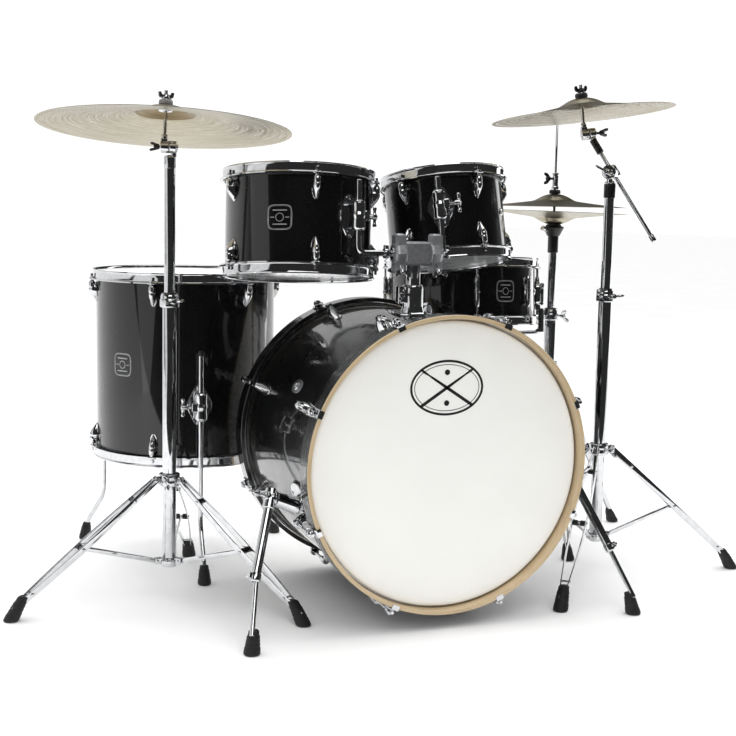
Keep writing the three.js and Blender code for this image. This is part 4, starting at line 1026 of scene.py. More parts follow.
def rod_bracket(name, place, radius, reach, angle, height, length, bore, hand, body):
    """Plate on the shell, web, split barrel round the rod, hinge lug and T bolt on the given hand."""
    at = place @ spin(angle) @ shift(z=height)
    foot = on_shell(moved(plate(diamond(60, length + 26), -0.4, 3.2, 1.2), UPRIGHT), radius)
    gasket = on_shell(moved(plate(diamond(64, length + 31), -0.5, 0.9, 0.4), UPRIGHT), radius)
    web = moved(block(reach - radius + 4, 21, length - 12, 5, 2.5), shift((reach + radius) / 2 - 2))
    end = length / 2
    barrel = lathe(rounded([(bore, -end), (12.0, -end), (14.2, 5 - end), (13.2, -7), (15, 0),
                            (13.2, 7), (14.2, end - 5), (12.0, end), (bore, end)], 1.5, 4), 40)
    lug = moved(block(14, 13, 20, 3, 1.8), shift(reach + 5, 15 * hand))
    screws = [moved(rivet(3.6, 2.0), shift(radius + 2.6, 0, z), UPRIGHT) for z in (-(end + 7), end + 7)]
    build(f"{name}_gasket", placed([gasket], at), RUBBER, body)
    shapes = [foot, web, moved(barrel, shift(reach)), lug, *screws]
    build(f"{name}_bracket", placed(shapes, at), CHROME, body)
    bolt = placed(t_bolt(22), at, shift(reach + 5, 18 * hand), spin(-90 * hand, 0))
    build(f"{name}_t_bolt", bolt, CHROME, body)


def diamond(width, height):
    """A lozenge with round corners: the foot plate of the rod brackets."""
    x, y = width / 2, height / 2
    return rounded([(x, 0), (8, y), (-8, y), (-x, 0), (-8, -y), (8, -y)], 14, 8)


def tom_arm(name, side):
    """The L-shaped rod: out of the clamp, round a bend, and up through the bracket on its drum."""
    drum, place = DRUMS[name], places[name]
    reach, angle, top = rod_spot(f"{name}_arm", place)
    clamp = joint_point(f"{name}_arm_tilt")
    rod_top = (place @ spin(angle) @ [reach, 0, top, 1])[:3]
    elbow = rod_top - place[:3, 2] * (rod_top[2] - clamp[2]) / place[2, 2]
    route = rounded([clamp - (side * 14, 0, 0), elbow, rod_top], 17, 12, closed=False)
    build(f"{name}_arm_rod", [tube(route, 6.3, 28)], CHROME, f"{name}_arm", [f"{name}_arm"])
    along = unit(elbow - clamp) * np.array([1, 0, 0])
    ring = lathe(rounded([(6.4, 0), (10.5, 0), (10.5, 9), (6.4, 9)], 0.9, 3), 32)
    lug = moved(block(8, 9, 8.4, 1.5, 0.8), shift(12.5, 0, 4.5))
    lock = frame_at(clamp + along * 17.5, along, (0, 0, 1))
    build(f"{name}_arm_memory_lock", placed([ring, lug], lock), CHROME, f"{name}_arm")
    rod_bracket(name, place, drum["radius"], reach, angle, 8, 60, 6.9, 1, name)
    print(name, "rod reach", round(reach, 1), "angle", round(angle, 1), "elbow", elbow.round(1))


tom_arm("left_tom", -1)
tom_arm("right_tom", 1)

# %% [markdown]
# ## Floor tom legs
# Three chromed rods slide in brackets. Each bends outward near the floor so that the drum can't tip, and
# ends in a rubber foot; a plastic cap closes its top.

# %% Floor tom legs
def floor_tom_leg(name, hand):
    """Rod with two bends, cap and foot, which slide together, and the bracket, which stays on the drum."""
    drum, place = DRUMS["floor_tom"], places["floor_tom"]
    reach, angle, top = rod_spot(name, place)
    points = cad_points(name)
    sole = points[points[:, 2] < 1.0].mean(0)
    rod_at = (place @ spin(angle) @ [reach, 0, 0, 1])[:3]
    out = sole[:2] - rod_at[:2]
    body = body_of[name]
    rod_top = np.r_[rod_at[:2], rod_at[2] + top]
    bend = np.r_[rod_at[:2], 118.0]
    ankle = np.r_[rod_at[:2] + 0.86 * out, 44.0]
    toe = np.r_[rod_at[:2] + out, 14.0]
    route = rounded([rod_top, bend, ankle, toe], 26, 10, closed=False)
    build(f"{name}_rod", [tube(route, 5.4, 26)], CHROME, body, [name])
    cap = lathe(rounded([(0, -9), (6.3, -9), (6.3, 2), (0, 3)], 1.0, 3), 28)
    build(f"{name}_cap", placed([cap], frame_at(rod_top)), NYLON, body)
    foot = frame_at((sole[0], sole[1], 0), (0, 0, 1), (*out, 0))
    build(f"{name}_foot", placed([rubber_foot(14.6, 9.8, 42, 6)], foot), RUBBER, body)
    rod_bracket(name, place, drum["radius"], reach, angle, -75, 62, 5.9, hand, "kit")


floor_tom_leg("floor_tom_front_leg", -1)
floor_tom_leg("floor_tom_left_leg", -1)
floor_tom_leg("floor_tom_right_leg", 1)

# %% [markdown]
# ## Snare drum hardware
# The strainer is a die-cast case with a throw-off lever; opposite it a butt plate holds the other end of
# twenty coiled wires that lie under the bottom head. A true helix twenty times over would cost far too many
# faces, so each wire is a thin tube that wavers 0.3 mm up and down, which catches light as a coil does.

# %% Snare strainer, butt plate and wires
SNARE = DRUMS["snare"]
snare_place = places["snare"]
snare_low = -SNARE["depth"] / 2
lever_at = joint_point("snare_throw_off")
lever_in_drum = np.linalg.inv(snare_place) @ np.r_[lever_at, 1]
LEVER_ANGLE = math.degrees(math.atan2(lever_in_drum[1], lever_in_drum[0]))
at_lever = snare_place @ spin(LEVER_ANGLE)
at_butt = snare_place @ spin(LEVER_ANGLE + 180)

case = [moved(plate(oblong(30, 58, 3.4), 0, 13, 3.0), shift(SNARE["radius"] + 0.2, 0, -6), UPRIGHT),
        moved(block(12, 22, 12, 2.5, 1.5), shift(SNARE["radius"] + 8, 0, -38)),
        moved(lathe(rounded([(0, 12), (6.5, 12), (6.5, 20), (5, 22), (0, 22)], 1.0, 4), 24),
              shift(SNARE["radius"] + 7, 0, 4))]
build("snare_strainer_case", placed(case, at_lever), CHROME, "snare")
butt = [moved(plate(oblong(28, 46, 3.0), 0, 9, 2.5), shift(SNARE["radius"] + 0.2, 0, -14), UPRIGHT),
        *[moved(rivet(3.4, 2.0), shift(SNARE["radius"] + 8.8, y, -20), UPRIGHT) for y in (-7, 7)]]
build("snare_butt_plate", placed(butt, at_butt), CHROME, "snare")

strand_reach = SNARE["radius"] * 0.86
strand_x = np.linspace(-strand_reach, strand_reach, 120)
strand_z = snare_low - 3.2 + 0.28 * np.where(np.arange(120) % 2 == 0, 1.0, -1.0)
wires = [tube(np.c_[strand_x, np.full(120, y), strand_z], 0.75, 5, 0.2, (0, 1, 0))
         for y in np.linspace(-19, 19, 20)]
end_plates, straps = [], []
for k in (-1, 1):
    end_plates.append(moved(block(14, 44, 1.4, 2, 0.4), shift(k * strand_reach, 0, snare_low - 2.4)))
    straps.append(moved(block(30, 20, 0.6, 1, 0.2), shift(k * (strand_reach + 18), 0, snare_low - 2.4)))
build("snare_wires", placed(wires + end_plates, at_lever), CHROME, "snare")
build("snare_straps", placed(straps, at_lever), NYLON, "snare")

handle_frame = frame_at(lever_at, (0, 0, 1), at_lever[:3, 0])
handle_outline = rounded([(-10, 0), (10, 0), (8, 34), (11, 50), (-11, 50), (-8, 34)], 4, 5)
handle_pin = tube([(0.5, -12, 0), (0.5, 12, 0)], 4.0, 20, 0.8)
handle = [moved(plate(handle_outline, -2.6, 4.4, 2.0), UPRIGHT), handle_pin]
build("snare_strainer_lever", placed(handle, handle_frame), CHROME, "strainer_lever",
      ["snare_strainer_lever"])


# %% Straps, pins and clamps that all stands share
def strap_pair(start, end, width, thickness, gap, side, bow=2.5):
    """Two flat steel straps, gap mm apart at their ends, each bowed outward by bow sin(pi t)."""
    t = np.linspace(0, 1, 17)[:, None]
    side = np.asarray(side, float)
    line = (1 - t) * np.asarray(start, float) + t * np.asarray(end, float)
    stand_off = gap / 2 + thickness / 2 + bow * np.sin(np.pi * t)
    section = strip_section(width, thickness)
    return [sweep(line + k * stand_off * side, section, None, side) for k in (-1, 1)]


def pin(point, side, reach, radius=4.0):
    """A pin through a pair of straps, with a domed rivet head on each outer face."""
    point, side = np.asarray(point, float), np.asarray(side, float)
    heads = [moved(rivet(radius, 1.8), frame_at(point + k * side * reach, k * side, (0, 0, 1)))
             for k in (-1, 1)]
    return [rod(point - side * reach, point + side * reach, radius * 0.6, sides=12, chamfer=0.3), *heads]


TUBE, TUBE_BORE = 14.3, 12.2           # the stands' lower tubes are 1 1/8 inch, and their
UPPER_TUBE, UPPER_BORE = 11.1, 9.2     # upper tubes 7/8 inch


def ring_outline(inner, outer, bottom, top, corner):
    """The section of a plain ring or tube, its four corners rounded."""
    return rounded([(inner, bottom), (outer, bottom), (outer, top), (inner, top)], corner, 3)


def height_clamp(place, level, bore, upper_tube):
    """A cast clamp on top of a tube, from level - 20 to level + 8, and the nylon bush in it."""
    outer = 20
    outline = rounded([(bore + 0.2, level - 20), (outer - 1.5, level - 20), (outer, level - 18),
                       (outer, level - 5), (outer - 1.6, level - 2), (outer - 1.6, level + 3),
                       (outer - 4, level + 8), (bore + 0.2, level + 8)], 1.2, 4)
    seam = moved(block(16, 10, 26, 2.5, 1.5), shift(0, outer + 1, level - 6))
    bush = lathe(ring_outline(upper_tube, bore - 0.2, level + 4, level + 10, 0.6), 36)
    return placed([lathe(outline, 40), seam], place), placed([bush], place)


# %% [markdown]
# ### Basket and snare stand
# The basket's three arms are bent rods: a path with three corners, each rounded by a short curve. The grips
# are moulded rubber with ribs, turned from an outline that waves. The stand's tripod doesn't fold here, so
# its straps are pieces of the body that stands on the floor.

# %% Snare basket and stand
hoop_foot = snare_low - 12
arms, grips = [], []
out = SNARE["radius"] + 23
for angle in around(3, 75):
    route = rounded([(9, 0, snare_low - 33), (out * 0.55, 0, snare_low - 30), (out - 6, 0, hoop_foot - 15),
                     (out, 0, hoop_foot + 8), (out, 0, hoop_foot + 36)], 22, 8, closed=False)
    arms.append(moved(tube(route, 4.6, 18, 0.6, (0, 1, 0)), spin(angle)))
    levels = np.linspace(hoop_foot - 14, hoop_foot + 34, 17)
    girth = 6.6 + 0.5 * np.cos(np.arange(17) * np.pi)
    grip = lathe(np.r_[[(0, levels[0] - 1.0)], np.c_[girth, levels], [(6.2, hoop_foot + 38),
                       (4.2, hoop_foot + 41.5), (0, hoop_foot + 42)]], 26)
    lip = moved(ellipsoid(7.5, 6.4, 4.2), shift(out - 6, 0, hoop_foot - 11))
    grips += [moved(moved(grip, shift(out)), spin(angle)), moved(lip, spin(angle))]
hub_outline = rounded([(0, -46), (10, -46), (10, -38), (15, -35), (15, -27), (9, -22), (0, -22)], 1.4, 4)
hub = moved(lathe(hub_outline, 36), shift(z=snare_low))
axle = tube([(-11, 0, snare_low - 46), (11, 0, snare_low - 46)], 12, 36, 1.2)
build("snare_basket_arms", placed([*arms, hub, axle], snare_place), CHROME, "snare",
      ["snare_basket"])
build("snare_basket_grips", placed(grips, snare_place), RUBBER, "snare")


def fixed_tripod(name, place, angles, reach, collar, low):
    """Three pairs of straps from a collar to rubber feet, each held by a brace from a lower ring."""
    inner = TUBE + 0.2
    ring = rounded([(inner, -13), (20, -13), (22, -10), (22, 10), (20, 13), (inner, 13)], 1.5, 4)
    lower_ring = rounded([(inner, -6), (23, -6), (23, 6), (inner, 6)], 1.5, 4)
    metal = [moved(lathe(ring, 40), shift(z=collar)), moved(lathe(lower_ring, 40), shift(z=low))]
    feet = []
    for angle in angles:
        hip, foot = np.array([22, 0, collar]), np.array([reach - 4, 0, 16])
        middle = hip + (foot - hip) * 0.52
        side = np.array([0.0, 1.0, 0.0])
        shapes = strap_pair(hip, foot, 11, 2.6, 5.4, side) + [bar((24, 0, low), middle, 9, 4.6, side)]
        shapes += pin(hip, side, 6.2) + pin(middle, side, 8.2) + pin((24, 0, low), side, 4.0, 3.2)
        metal += placed(shapes, spin(angle))
        feet.append(moved(moved(rubber_foot(15.6, 9.6, 36, 17), shift(reach)), spin(angle)))
    build(f"{name}_legs", placed(metal, place), CHROME, "kit")
    build(f"{name}_feet", placed(feet, place), RUBBER, "kit")


basket_at = joint_point("snare_basket_tilt")
stand_place = frame_at((basket_at[0], basket_at[1], 0))
neck = basket_at[2] - 14
SNARE_CLAMP = 444
stand_tube = lathe(ring_outline(12.4, TUBE, 76, SNARE_CLAMP + 8, 0.6), 40)
inner_tube = lathe(ring_outline(8, 10.9, SNARE_CLAMP - 14, neck - 6, 0.6), 36)
clamp_shapes, bush = height_clamp(stand_place, SNARE_CLAMP, 14.5, UPPER_TUBE)
saddle_outline = rounded([(7, -14), (15, -14), (17, -11), (17, -6), (7, -6)], 1.2, 4)
saddle = moved(lathe(saddle_outline, 36), shift(z=neck))
cheeks = [moved(block(5, 26, 28, 8, 1.2), shift(side * 14.5, 0, neck + 6)) for side in (-1, 1)]
stand_shapes = placed([stand_tube, inner_tube, saddle, *cheeks], stand_place) + clamp_shapes
build("snare_stand_tube", stand_shapes, CHROME, "kit", ["snare_stand"])
build("snare_stand_bush", bush, NYLON, "kit")
tilt_wing = placed(wing_bolt(20, 17), stand_place, shift(17, 0, basket_at[2]), spin(90, 1))
height_screw = frame_at(stand_place[:3, 3] + (18, 0, SNARE_CLAMP - 6), (1, -0.3, 0))
build("snare_stand_wing_bolts", tilt_wing + placed(wing_bolt(22, 18), height_screw), CHROME, "kit")
fixed_tripod("snare_stand", stand_place, (90, 200, 330), 205, 225, 84)

# %% [markdown]
# ## Folding tripods
# The ride and the boom stand share one tripod. Each leg is a pair of pressed steel straps, bowed apart for
# stiffness and hung from a sliding collar; a brace ties it to a ring at the foot of the tube. Hips, ankles
# and feet all come from the frame, and every leg is its own body, so it takes its rivets and foot along.

# %% Tube, collar, legs and braces of one stand
LEG_TIE = 200.0      # from the hip, along the leg, to the brace's pin
LEG_BOW = 11.0       # how far each strap bends out at its middle


def nylon_ring(turn, along, bottom, top, outer):
    """A spacer round a pin, between two heights along the pin."""
    return moved(lathe(ring_outline(2.4, outer, bottom, top, 0.8), 24), turn, shift(along))


def folding_tripod(name):
    """Tube, clamp, collar, three legs and three braces; gives back the stand's place and clamp height."""
    hips = [joint_point(f"{name}_leg_{i}_hinge") for i in (1, 2, 3)]
    ankles = [joint_point(f"{name}_brace_{i}_hinge") for i in (1, 2, 3)]
    centre = np.mean(hips, 0)
    low = np.mean(ankles, 0)[2]
    top = cad_points(f"{name}_lower_tube")[:, 2].max() - 8
    place = frame_at((centre[0], centre[1], 0))
    headings = [unit((hip - centre) * (1, 1, 0)) for hip in hips]

    tube_shape = lathe(ring_outline(TUBE_BORE, TUBE, low - 14, top - 2, 0.7), 48)
    flange_outline = rounded([(14.4, -9), (20, -9), (21.5, -7), (21.5, 1), (19, 3), (14.4, 3)], 1.2, 4)
    flange = moved(lathe(flange_outline, 48), shift(z=low))
    cast, bush = height_clamp(place, top, 14.4, 11.4)
    shapes = placed([tube_shape, flange], place) + cast
    for ankle, out in zip(ankles, headings):
        side = np.cross((0, 0, 1), out)
        at = frame_at(ankle, (0, 0, 1), out)
        shapes += [moved(block(16, 2.8, 12, 1, 0.6), at, shift(-3, k * 4.9)) for k in (-1, 1)]
        shapes += pin(ankle, side, 6.2, 3.2)
    build(f"{name}_stand_tube", shapes, CHROME, "kit", [f"{name}_lower_tube"])
    build(f"{name}_stand_bush", bush, NYLON, "kit")
    bolt_at = frame_at(place[:3, 3] + (0, -17, top - 6), (0, -1, 0))
    bolt = placed(wing_bolt(20, 20), bolt_at, spin(8))
    build(f"{name}_height_wing_bolt", bolt, CHROME, "kit")

    level = centre[2]
    ring_line = rounded([(14.9, -13), (20, -13), (22, -11), (22, -3), (20.8, 0), (22, 3), (22, 11), (20, 13),
                         (14.9, 13)], 1.2, 4)
    ring = moved(lathe(ring_line, 48), place, shift(z=level))
    ears = [moved(block(20, 5.0, 15, 2.0, 1.0), frame_at(hip, (0, 0, 1), out), shift(-4))
            for hip, out in zip(hips, headings)]
    collar = f"{name}_leg_collar"
    build(f"{name}_collar_ring", [ring, *ears], CHROME, collar, [collar])
    between = math.degrees(math.atan2(headings[0][1], headings[0][0])) + 60
    screw = place @ spin(between) @ shift(20, 0, level) @ spin(90, 1)
    bolt = placed(wing_bolt(17, 16), screw, spin(20))
    build(f"{name}_collar_wing_bolt", bolt, CHROME, collar)

    for i, (hip, ankle, out) in enumerate(zip(hips, ankles, headings), 1):
        side = np.cross((0, 0, 1), out)
        points = cad_points(f"{name}_leg_{i}")
        sole = points[points[:, 2] < 1.0].mean(0) * (1, 1, 0)
        end = sole + (0, 0, 18)
        along = unit(end - hip)
        tie = hip + along * LEG_TIE
        length = np.linalg.norm(end - hip)
        reach = {}
        for d in (60, LEG_TIE, length - 52):
            reach[d] = 6.0 + LEG_BOW * math.sin(math.pi * (d + 7) / (length + 1))
        shapes = strap_pair(hip - along * 7, end - along * 6, 12.5, 2.8, 6.2, side, LEG_BOW)
        shapes += pin(hip, side, 6.4)
        for d in reach:
            shapes += pin(hip + along * d, side, reach[d], 3.6)
        turn = frame_at(hip, side, along)
        upper, tie_room = reach[60] - 3.2, reach[LEG_TIE] - 3.2
        spacers = [nylon_ring(turn, 60, -upper, upper, 5.6),
                   nylon_ring(turn, LEG_TIE, -tie_room, -2.8, 6.2),
                   nylon_ring(turn, LEG_TIE, 2.8, tie_room, 6.2)]
        leg = f"{name}_leg_{i}"
        build(f"{leg}_spacers", spacers, NYLON, leg)
        build(f"{leg}_straps", shapes, CHROME, leg, [leg])
        foot = frame_at(sole, (0, 0, 1), out)
        build(f"{leg}_foot", placed([rubber_foot(15.6, 11.6, 47, 27)], foot), RUBBER, leg)
        brace = f"{name}_brace_{i}"
        build(brace, [bar(ankle, tie, 10, 4.6, side, 2.0)], CHROME, brace, [brace])
    print(name, "stand at", centre.round(1), "clamp", round(top, 1), "lower ring", round(low, 1))
    return place, top


ride_place, ride_clamp = folding_tripod("ride")
crash_place, crash_clamp = folding_tripod("crash")

# %% [markdown]
# ## Cymbals
# A cymbal is one turned body: a bell, a bow that flattens toward the rim, and a thickness that goes from
# 1.6 mm at the hole to 0.9 mm at the edge. The outline is resampled to even steps, so that the UV map's v is
# the true distance along it and the lathe rings come out evenly spaced. The bell's inside is left as cast,
# so a thin skin of rawer bronze covers it.

# %% Cymbals
CYMBALS = {
    "ride": {"radius": 254.0, "bell": 60, "bow": 28, "height": 47},
    "crash": {"radius": 203.2, "bell": 50, "bow": 21, "height": 38},
    "hihat": {"radius": 177.8, "bell": 48, "bow": 14, "height": 31},
}


def cymbal_line(radius, bell, bow, height, count=90):
    """Top line: outside the bell bow (1 - s)^1.25, inside it another (height - bow) (1 - s^2.2)."""
    r = np.linspace(6.5, radius, 700)
    outside = bow * np.clip(1 - (r - bell) / (radius - bell), 0, 1) ** 1.25
    inside = bow + (height - bow) * (1 - np.clip(r / bell, 0, 1) ** 2.2)
    z = np.where(r > bell, outside, inside)
    shoulder = np.exp(-((r - bell) / 5.0) ** 2)
    z = z + shoulder * 1.1
    length = np.r_[0, np.cumsum(np.hypot(np.diff(r), np.diff(z)))]
    even = np.linspace(0, length[-1], count)
    return np.c_[np.interp(even, length, r), np.interp(even, length, z)]


def cymbal(name, place, kind, body):
    """One cymbal with its hole on the given axis, and the skin inside its bell."""
    radius, bell = CYMBALS[kind]["radius"], CYMBALS[kind]["bell"]
    top = cymbal_line(**CYMBALS[kind])
    thickness = 1.6 - 0.7 * top[:, 0] / radius
    top = top + np.array([0, 1.0])
    under = (top - np.c_[np.zeros(len(top)), thickness])[::-1]
    disc = lathe(np.r_[top, under], 192)
    build(name, [moved(disc, place)], BRONZE, body, [name], 40)
    inner = under[under[:, 0] < bell * 1.02] - (0, 0.12)
    film = lathe(np.r_[inner, (inner - (0, 0.25))[::-1]], 128)
    build(f"{name}_bell_inside", [moved(film, place)], BELL_BRONZE, body, (), 40)
    print(name, "diameter", 2 * radius, "height", round(float(top[0, 1]), 1))


for kind in ("ride", "crash"):
    axle = frame_at(joint_point(f"{kind}_spin"), joint_axis(f"{kind}_spin"), joint_axis(f"{kind}_tilt"))
    cymbal(f"{kind}_cymbal", axle, kind, f"{kind}_cymbal")

# %% [markdown]
# ## Tilters
# Two toothed discs are clamped face to face by a wing screw: one sits on the stand and the other carries
# the threaded rod. On the rod come a cup washer, a felt, the cymbal, a thicker felt, a washer and a wing nut.
# The discs' teeth stay 0.3 mm apart, so that they don't run through each other when the tilter turns.

# %% Ratchet tilters
TILTER_ROD = {"ride": 36, "crash": 42}     # from the tilt hinge up to the cymbal's rim


def ratchet_disc(radius, low, high, teeth_at):
    """A turned disc along the hinge, x = low to high, with radial teeth on the face at teeth_at."""
    disc = lathe(rounded([(0, low), (radius - 1, low), (radius, low + 1.5), (radius, high - 1.0),
                          (radius - 1, high), (0, high)], 0.8, 3), 40)
    teeth = [moved(block(radius * 0.32, 0.9, 1.2, 0.2, 0.2), spin(a), shift(radius * 0.82, 0, teeth_at))
             for a in around(40, 0)]
    return placed([disc, *teeth], spin(90, 1))


def wing_nut_flat(level, spread=17.0):
    """A cast wing nut on an upright screw: hub and two lobed wings."""
    hub = lathe(rounded([(4.2, level), (7.5, level), (6.5, level + 9), (4.2, level + 10)], 0.8, 3), 28)
    outline = rounded([(4, 0), (spread - 3, 3), (spread, 8), (spread - 1, 15), (spread - 6, 16),
                       (8, 9), (4, 9)], 3.0, 5)
    wing = moved(plate(outline, -2.4, 2.4, 1.3), shift(z=level), spin(90, 0))
    return [hub, wing, moved(wing, spin(180))]


def tilter(name, dark):
    """Everything on the moving half: disc, boss, threaded rod, felts, washers, wing nut and tilt screw."""
    body = f"{name}_tilter"
    bell_top = TILTER_ROD[name] + CYMBALS[name]["height"]
    place = frame_at(joint_point(f"{name}_tilt"), joint_axis(f"{name}_spin"), joint_axis(f"{name}_tilt"))
    column = place @ shift(-11)
    at_bell = column @ shift(z=bell_top)
    disc = placed(ratchet_disc(12.5, -18, -0.6, -0.75), place)
    boss = moved(block(14, 15, 24, 3, 2), column, shift(z=5))
    collar = moved(lathe(rounded([(0, 14), (6.5, 14), (6.5, 22), (5, 25), (0, 25)], 1.0, 4), 28), column)
    shank = moved(lathe([(0, 20), (3.9, 20), (3.9, bell_top - 14), (0, bell_top - 14)], 20), column)
    thread = moved(threaded(bell_top - 15, bell_top + 30, 4.0), column)
    cup_line = [(4.2, -12.6), (13, -12.6), (15.2, -9.5), (15.2, -8.3), (12, -9.6), (4.2, -9.6)]
    cup = moved(lathe(rounded(cup_line, 0.6, 3), 40), at_bell)
    washer = moved(lathe(ring_outline(4.2, 12.5, 10.2, 11.6, 0.5), 36), at_bell)
    metal = [*disc, boss, collar, shank, thread, cup, washer]
    build(f"{name}_tilter_metal", metal, CHROME, body, [body])
    lower_felt = rounded([(4.4, -9.4), (13.2, -9.4), (14, -8), (13.4, -1.2), (4.4, -1.2)], 1.2, 4)
    upper_felt = rounded([(4.4, 1.2), (13.8, 1.2), (14.4, 5), (13.8, 10), (4.4, 10)], 1.6, 4)
    felts = placed([lathe(lower_felt, 36), lathe(upper_felt, 36)], at_bell)
    build(f"{name}_felts", felts, BLACK_FELT if dark else GREY_FELT, body)
    sleeve = lathe([(3.9, -9), (5.6, -9), (5.6, 9), (3.9, 9)], 24)
    build(f"{name}_sleeve", placed([sleeve], at_bell), NYLON, body)
    nut = placed(wing_nut_flat(12), at_bell, spin(25))
    build(f"{name}_wing_nut", nut, NYLON if dark else CHROME, body)
    if dark:
        lock = placed(wing_bolt(16, 15, 3.0), place, shift(13), spin(90, 1), spin(60))
        build(f"{name}_tilt_wing_bolt", lock, NYLON, "boom_arm")
    else:
        lock = placed(wing_bolt(10, 11, 3.0), place, shift(-17), spin(-90, 1), spin(30))
        build(f"{name}_tilt_wing_bolt", lock, NYLON, body)
    return place


ride_tilter = tilter("ride", dark=False)
crash_tilter = tilter("crash", dark=True)


# %% Ride upper tube
HIDDEN = 190     # how much of an upper tube is inside the lower one


def upper_tube(place, bottom, top):
    """The 7/8 inch tube that telescopes out of a stand."""
    return moved(lathe(ring_outline(UPPER_BORE, UPPER_TUBE, bottom, top, 0.7), 44), place)


def seat(place):
    """The fixed half of a tilter: a toothed disc with a domed screw head on its outer face."""
    head = placed([rivet(6.0, 4.0)], shift(14.0), spin(90, 1))
    return placed(ratchet_disc(12.5, 0.6, 14, 0.75) + head, place)


ride_top = joint_point("ride_tilt")[2]
ferrule = rounded([(0, -42), (12.2, -42), (12.2, -20), (8, -15.5), (0, -15.5)], 1.2, 4)
neck_rod = rod((7, -2.7, -20), (7, -2.7, -4), 6.0)
ride_shapes = [upper_tube(ride_place, ride_clamp - HIDDEN, ride_top - 24),
               *placed([lathe(ferrule, 40), neck_rod], ride_place, shift(z=ride_top)), *seat(ride_tilter)]
build("ride_tube", ride_shapes, CHROME, "ride_upper_tube", ["ride_upper_tube"])

# %% [markdown]
# ## Boom
# The boom stand's upper tube ends in half of a toothed clamp. The other half carries a bored block, through
# which the boom rod slides; a wing screw locks the angle and a dark knob the length. The upper part of the
# rod wears a thicker dark sleeve, and its end carries the crash tilter.

# %% Boom stand top, clamp and arm
boom = frame_at(joint_point("boom_tilt"), joint_axis("boom_slide"), joint_axis("boom_tilt"))
boom_z = boom[2, 3]
crash_top = crash_place @ shift(z=boom_z)
sleeve = lathe(rounded([(11.2, -56), (12.8, -56), (12.8, -26), (11.2, -26)], 1.0, 4), 40)
build("boom_tube_sleeve", placed([sleeve], crash_top), NYLON, "crash_upper_tube")
stem = rod((0, 0, -46), (*(boom[:2, 0] * -9), -8), 7.5, 6.5)
cap = lathe(rounded([(0, -34), (12.4, -34), (12.4, -24), (8, -18), (0, -18)], 1.2, 4), 40)
crash_shapes = [upper_tube(crash_place, crash_clamp - HIDDEN, boom_z - 30), *placed([stem, cap], crash_top),
                *placed(ratchet_disc(16, -16, -0.6, -0.75), boom)]
build("crash_tube", crash_shapes, CHROME, "crash_upper_tube", ["crash_upper_tube"])
big_wing = placed(wing_bolt(24, 26, 4.0), boom, shift(-15), spin(-90, 1), spin(25))
build("boom_angle_wing_bolt", big_wing, CHROME, "crash_upper_tube")

OFFSET, BORE = 21.0, 5.3     # the rod passes this far beside the hinge, through a hole of this radius
half = ratchet_disc(15.5, 0.6, 13, 0.75)
split_block = lathe(rounded([(BORE, -14), (12.6, -14), (13.6, -11), (13.6, 11), (12.6, 14), (BORE, 14)],
                            1.6, 4), 10)
web = moved(block(9, 20, 24, 3, 2), shift(12))
clamp_shapes = placed([*half, moved(split_block, shift(OFFSET)), web], boom)
build("boom_clamp_block", clamp_shapes, CHROME, "boom_clamp", ["boom_clamp"])
knob_core = lathe(rounded([(0, -6), (7.5, -6), (7.5, 6), (0, 7)], 1.5, 4), 28)
knob_lobes = [moved(ellipsoid(5.2, 5.2, 7.0), spin(a), shift(6.5)) for a in around(5, 0)]
knob = placed([knob_core, *knob_lobes], boom, shift(OFFSET + 17), spin(90, 1))
build("boom_length_knob", knob, NYLON, "boom_clamp")
knob_screw = moved(threaded(0, 10, 3.2), boom, shift(OFFSET + 10), spin(90, 1))
build("boom_length_screw", [knob_screw], CHROME, "boom_clamp")

UPPER, LOWER = 102.0, 172.0     # how far the rod runs past the clamp, to the tilter and behind
arm_line = boom @ shift(OFFSET)


def on_arm(distance):
    """A point on the boom rod's line, so many millimetres from the clamp."""
    return (arm_line @ [0, 0, distance, 1])[:3]


seat_at = (crash_tilter @ [8, 0, 0, 1])[:3]
arm_shapes = [rod(on_arm(-LOWER), on_arm(UPPER - 16), 4.5, sides=28), *seat(crash_tilter),
              rod(on_arm(UPPER - 22), seat_at, 6.5)]
build("boom_rod", arm_shapes, CHROME, "boom_arm", ["boom_arm"])
dark_sleeve = rod(on_arm(UPPER * 0.5), on_arm(UPPER - 15), 8.0, sides=32, chamfer=1.5)
build("boom_rod_sleeve", [dark_sleeve], NYLON, "boom_arm")
end_cap = lathe(rounded([(0, -8), (5.4, -8), (6.4, -5), (6.4, 7), (4.8, 9), (0, 9)], 1.2, 4), 30)
build("boom_end_cap", placed([end_cap], arm_line, shift(z=-LOWER)), CHROME, "boom_arm")

# %% [markdown]
# ## Hi-hat
# Two cymbals face each other: the lower one lies upside down on a black cup that can be tilted a little, and
# the upper one hangs from the pull rod by a clutch between two felts. Below are the tube, a fixed tripod and
# the pedal, whose chain pulls the rod down.

# %% Hi-hat stand, rod and cymbals
hat_points = cad_points("hihat_top_cymbal")
hat_middle = (hat_points.min(0) + hat_points.max(0)) / 2
hat = frame_at((hat_middle[0], hat_middle[1], 0))
HAT_CLAMP, SEAT, LOWER_RIM, UPPER_RIM, ROD_TOP = 567.0, 777.0, 816.0, 828.0, 1045.0     # heights
at_seat = hat @ shift(z=SEAT)

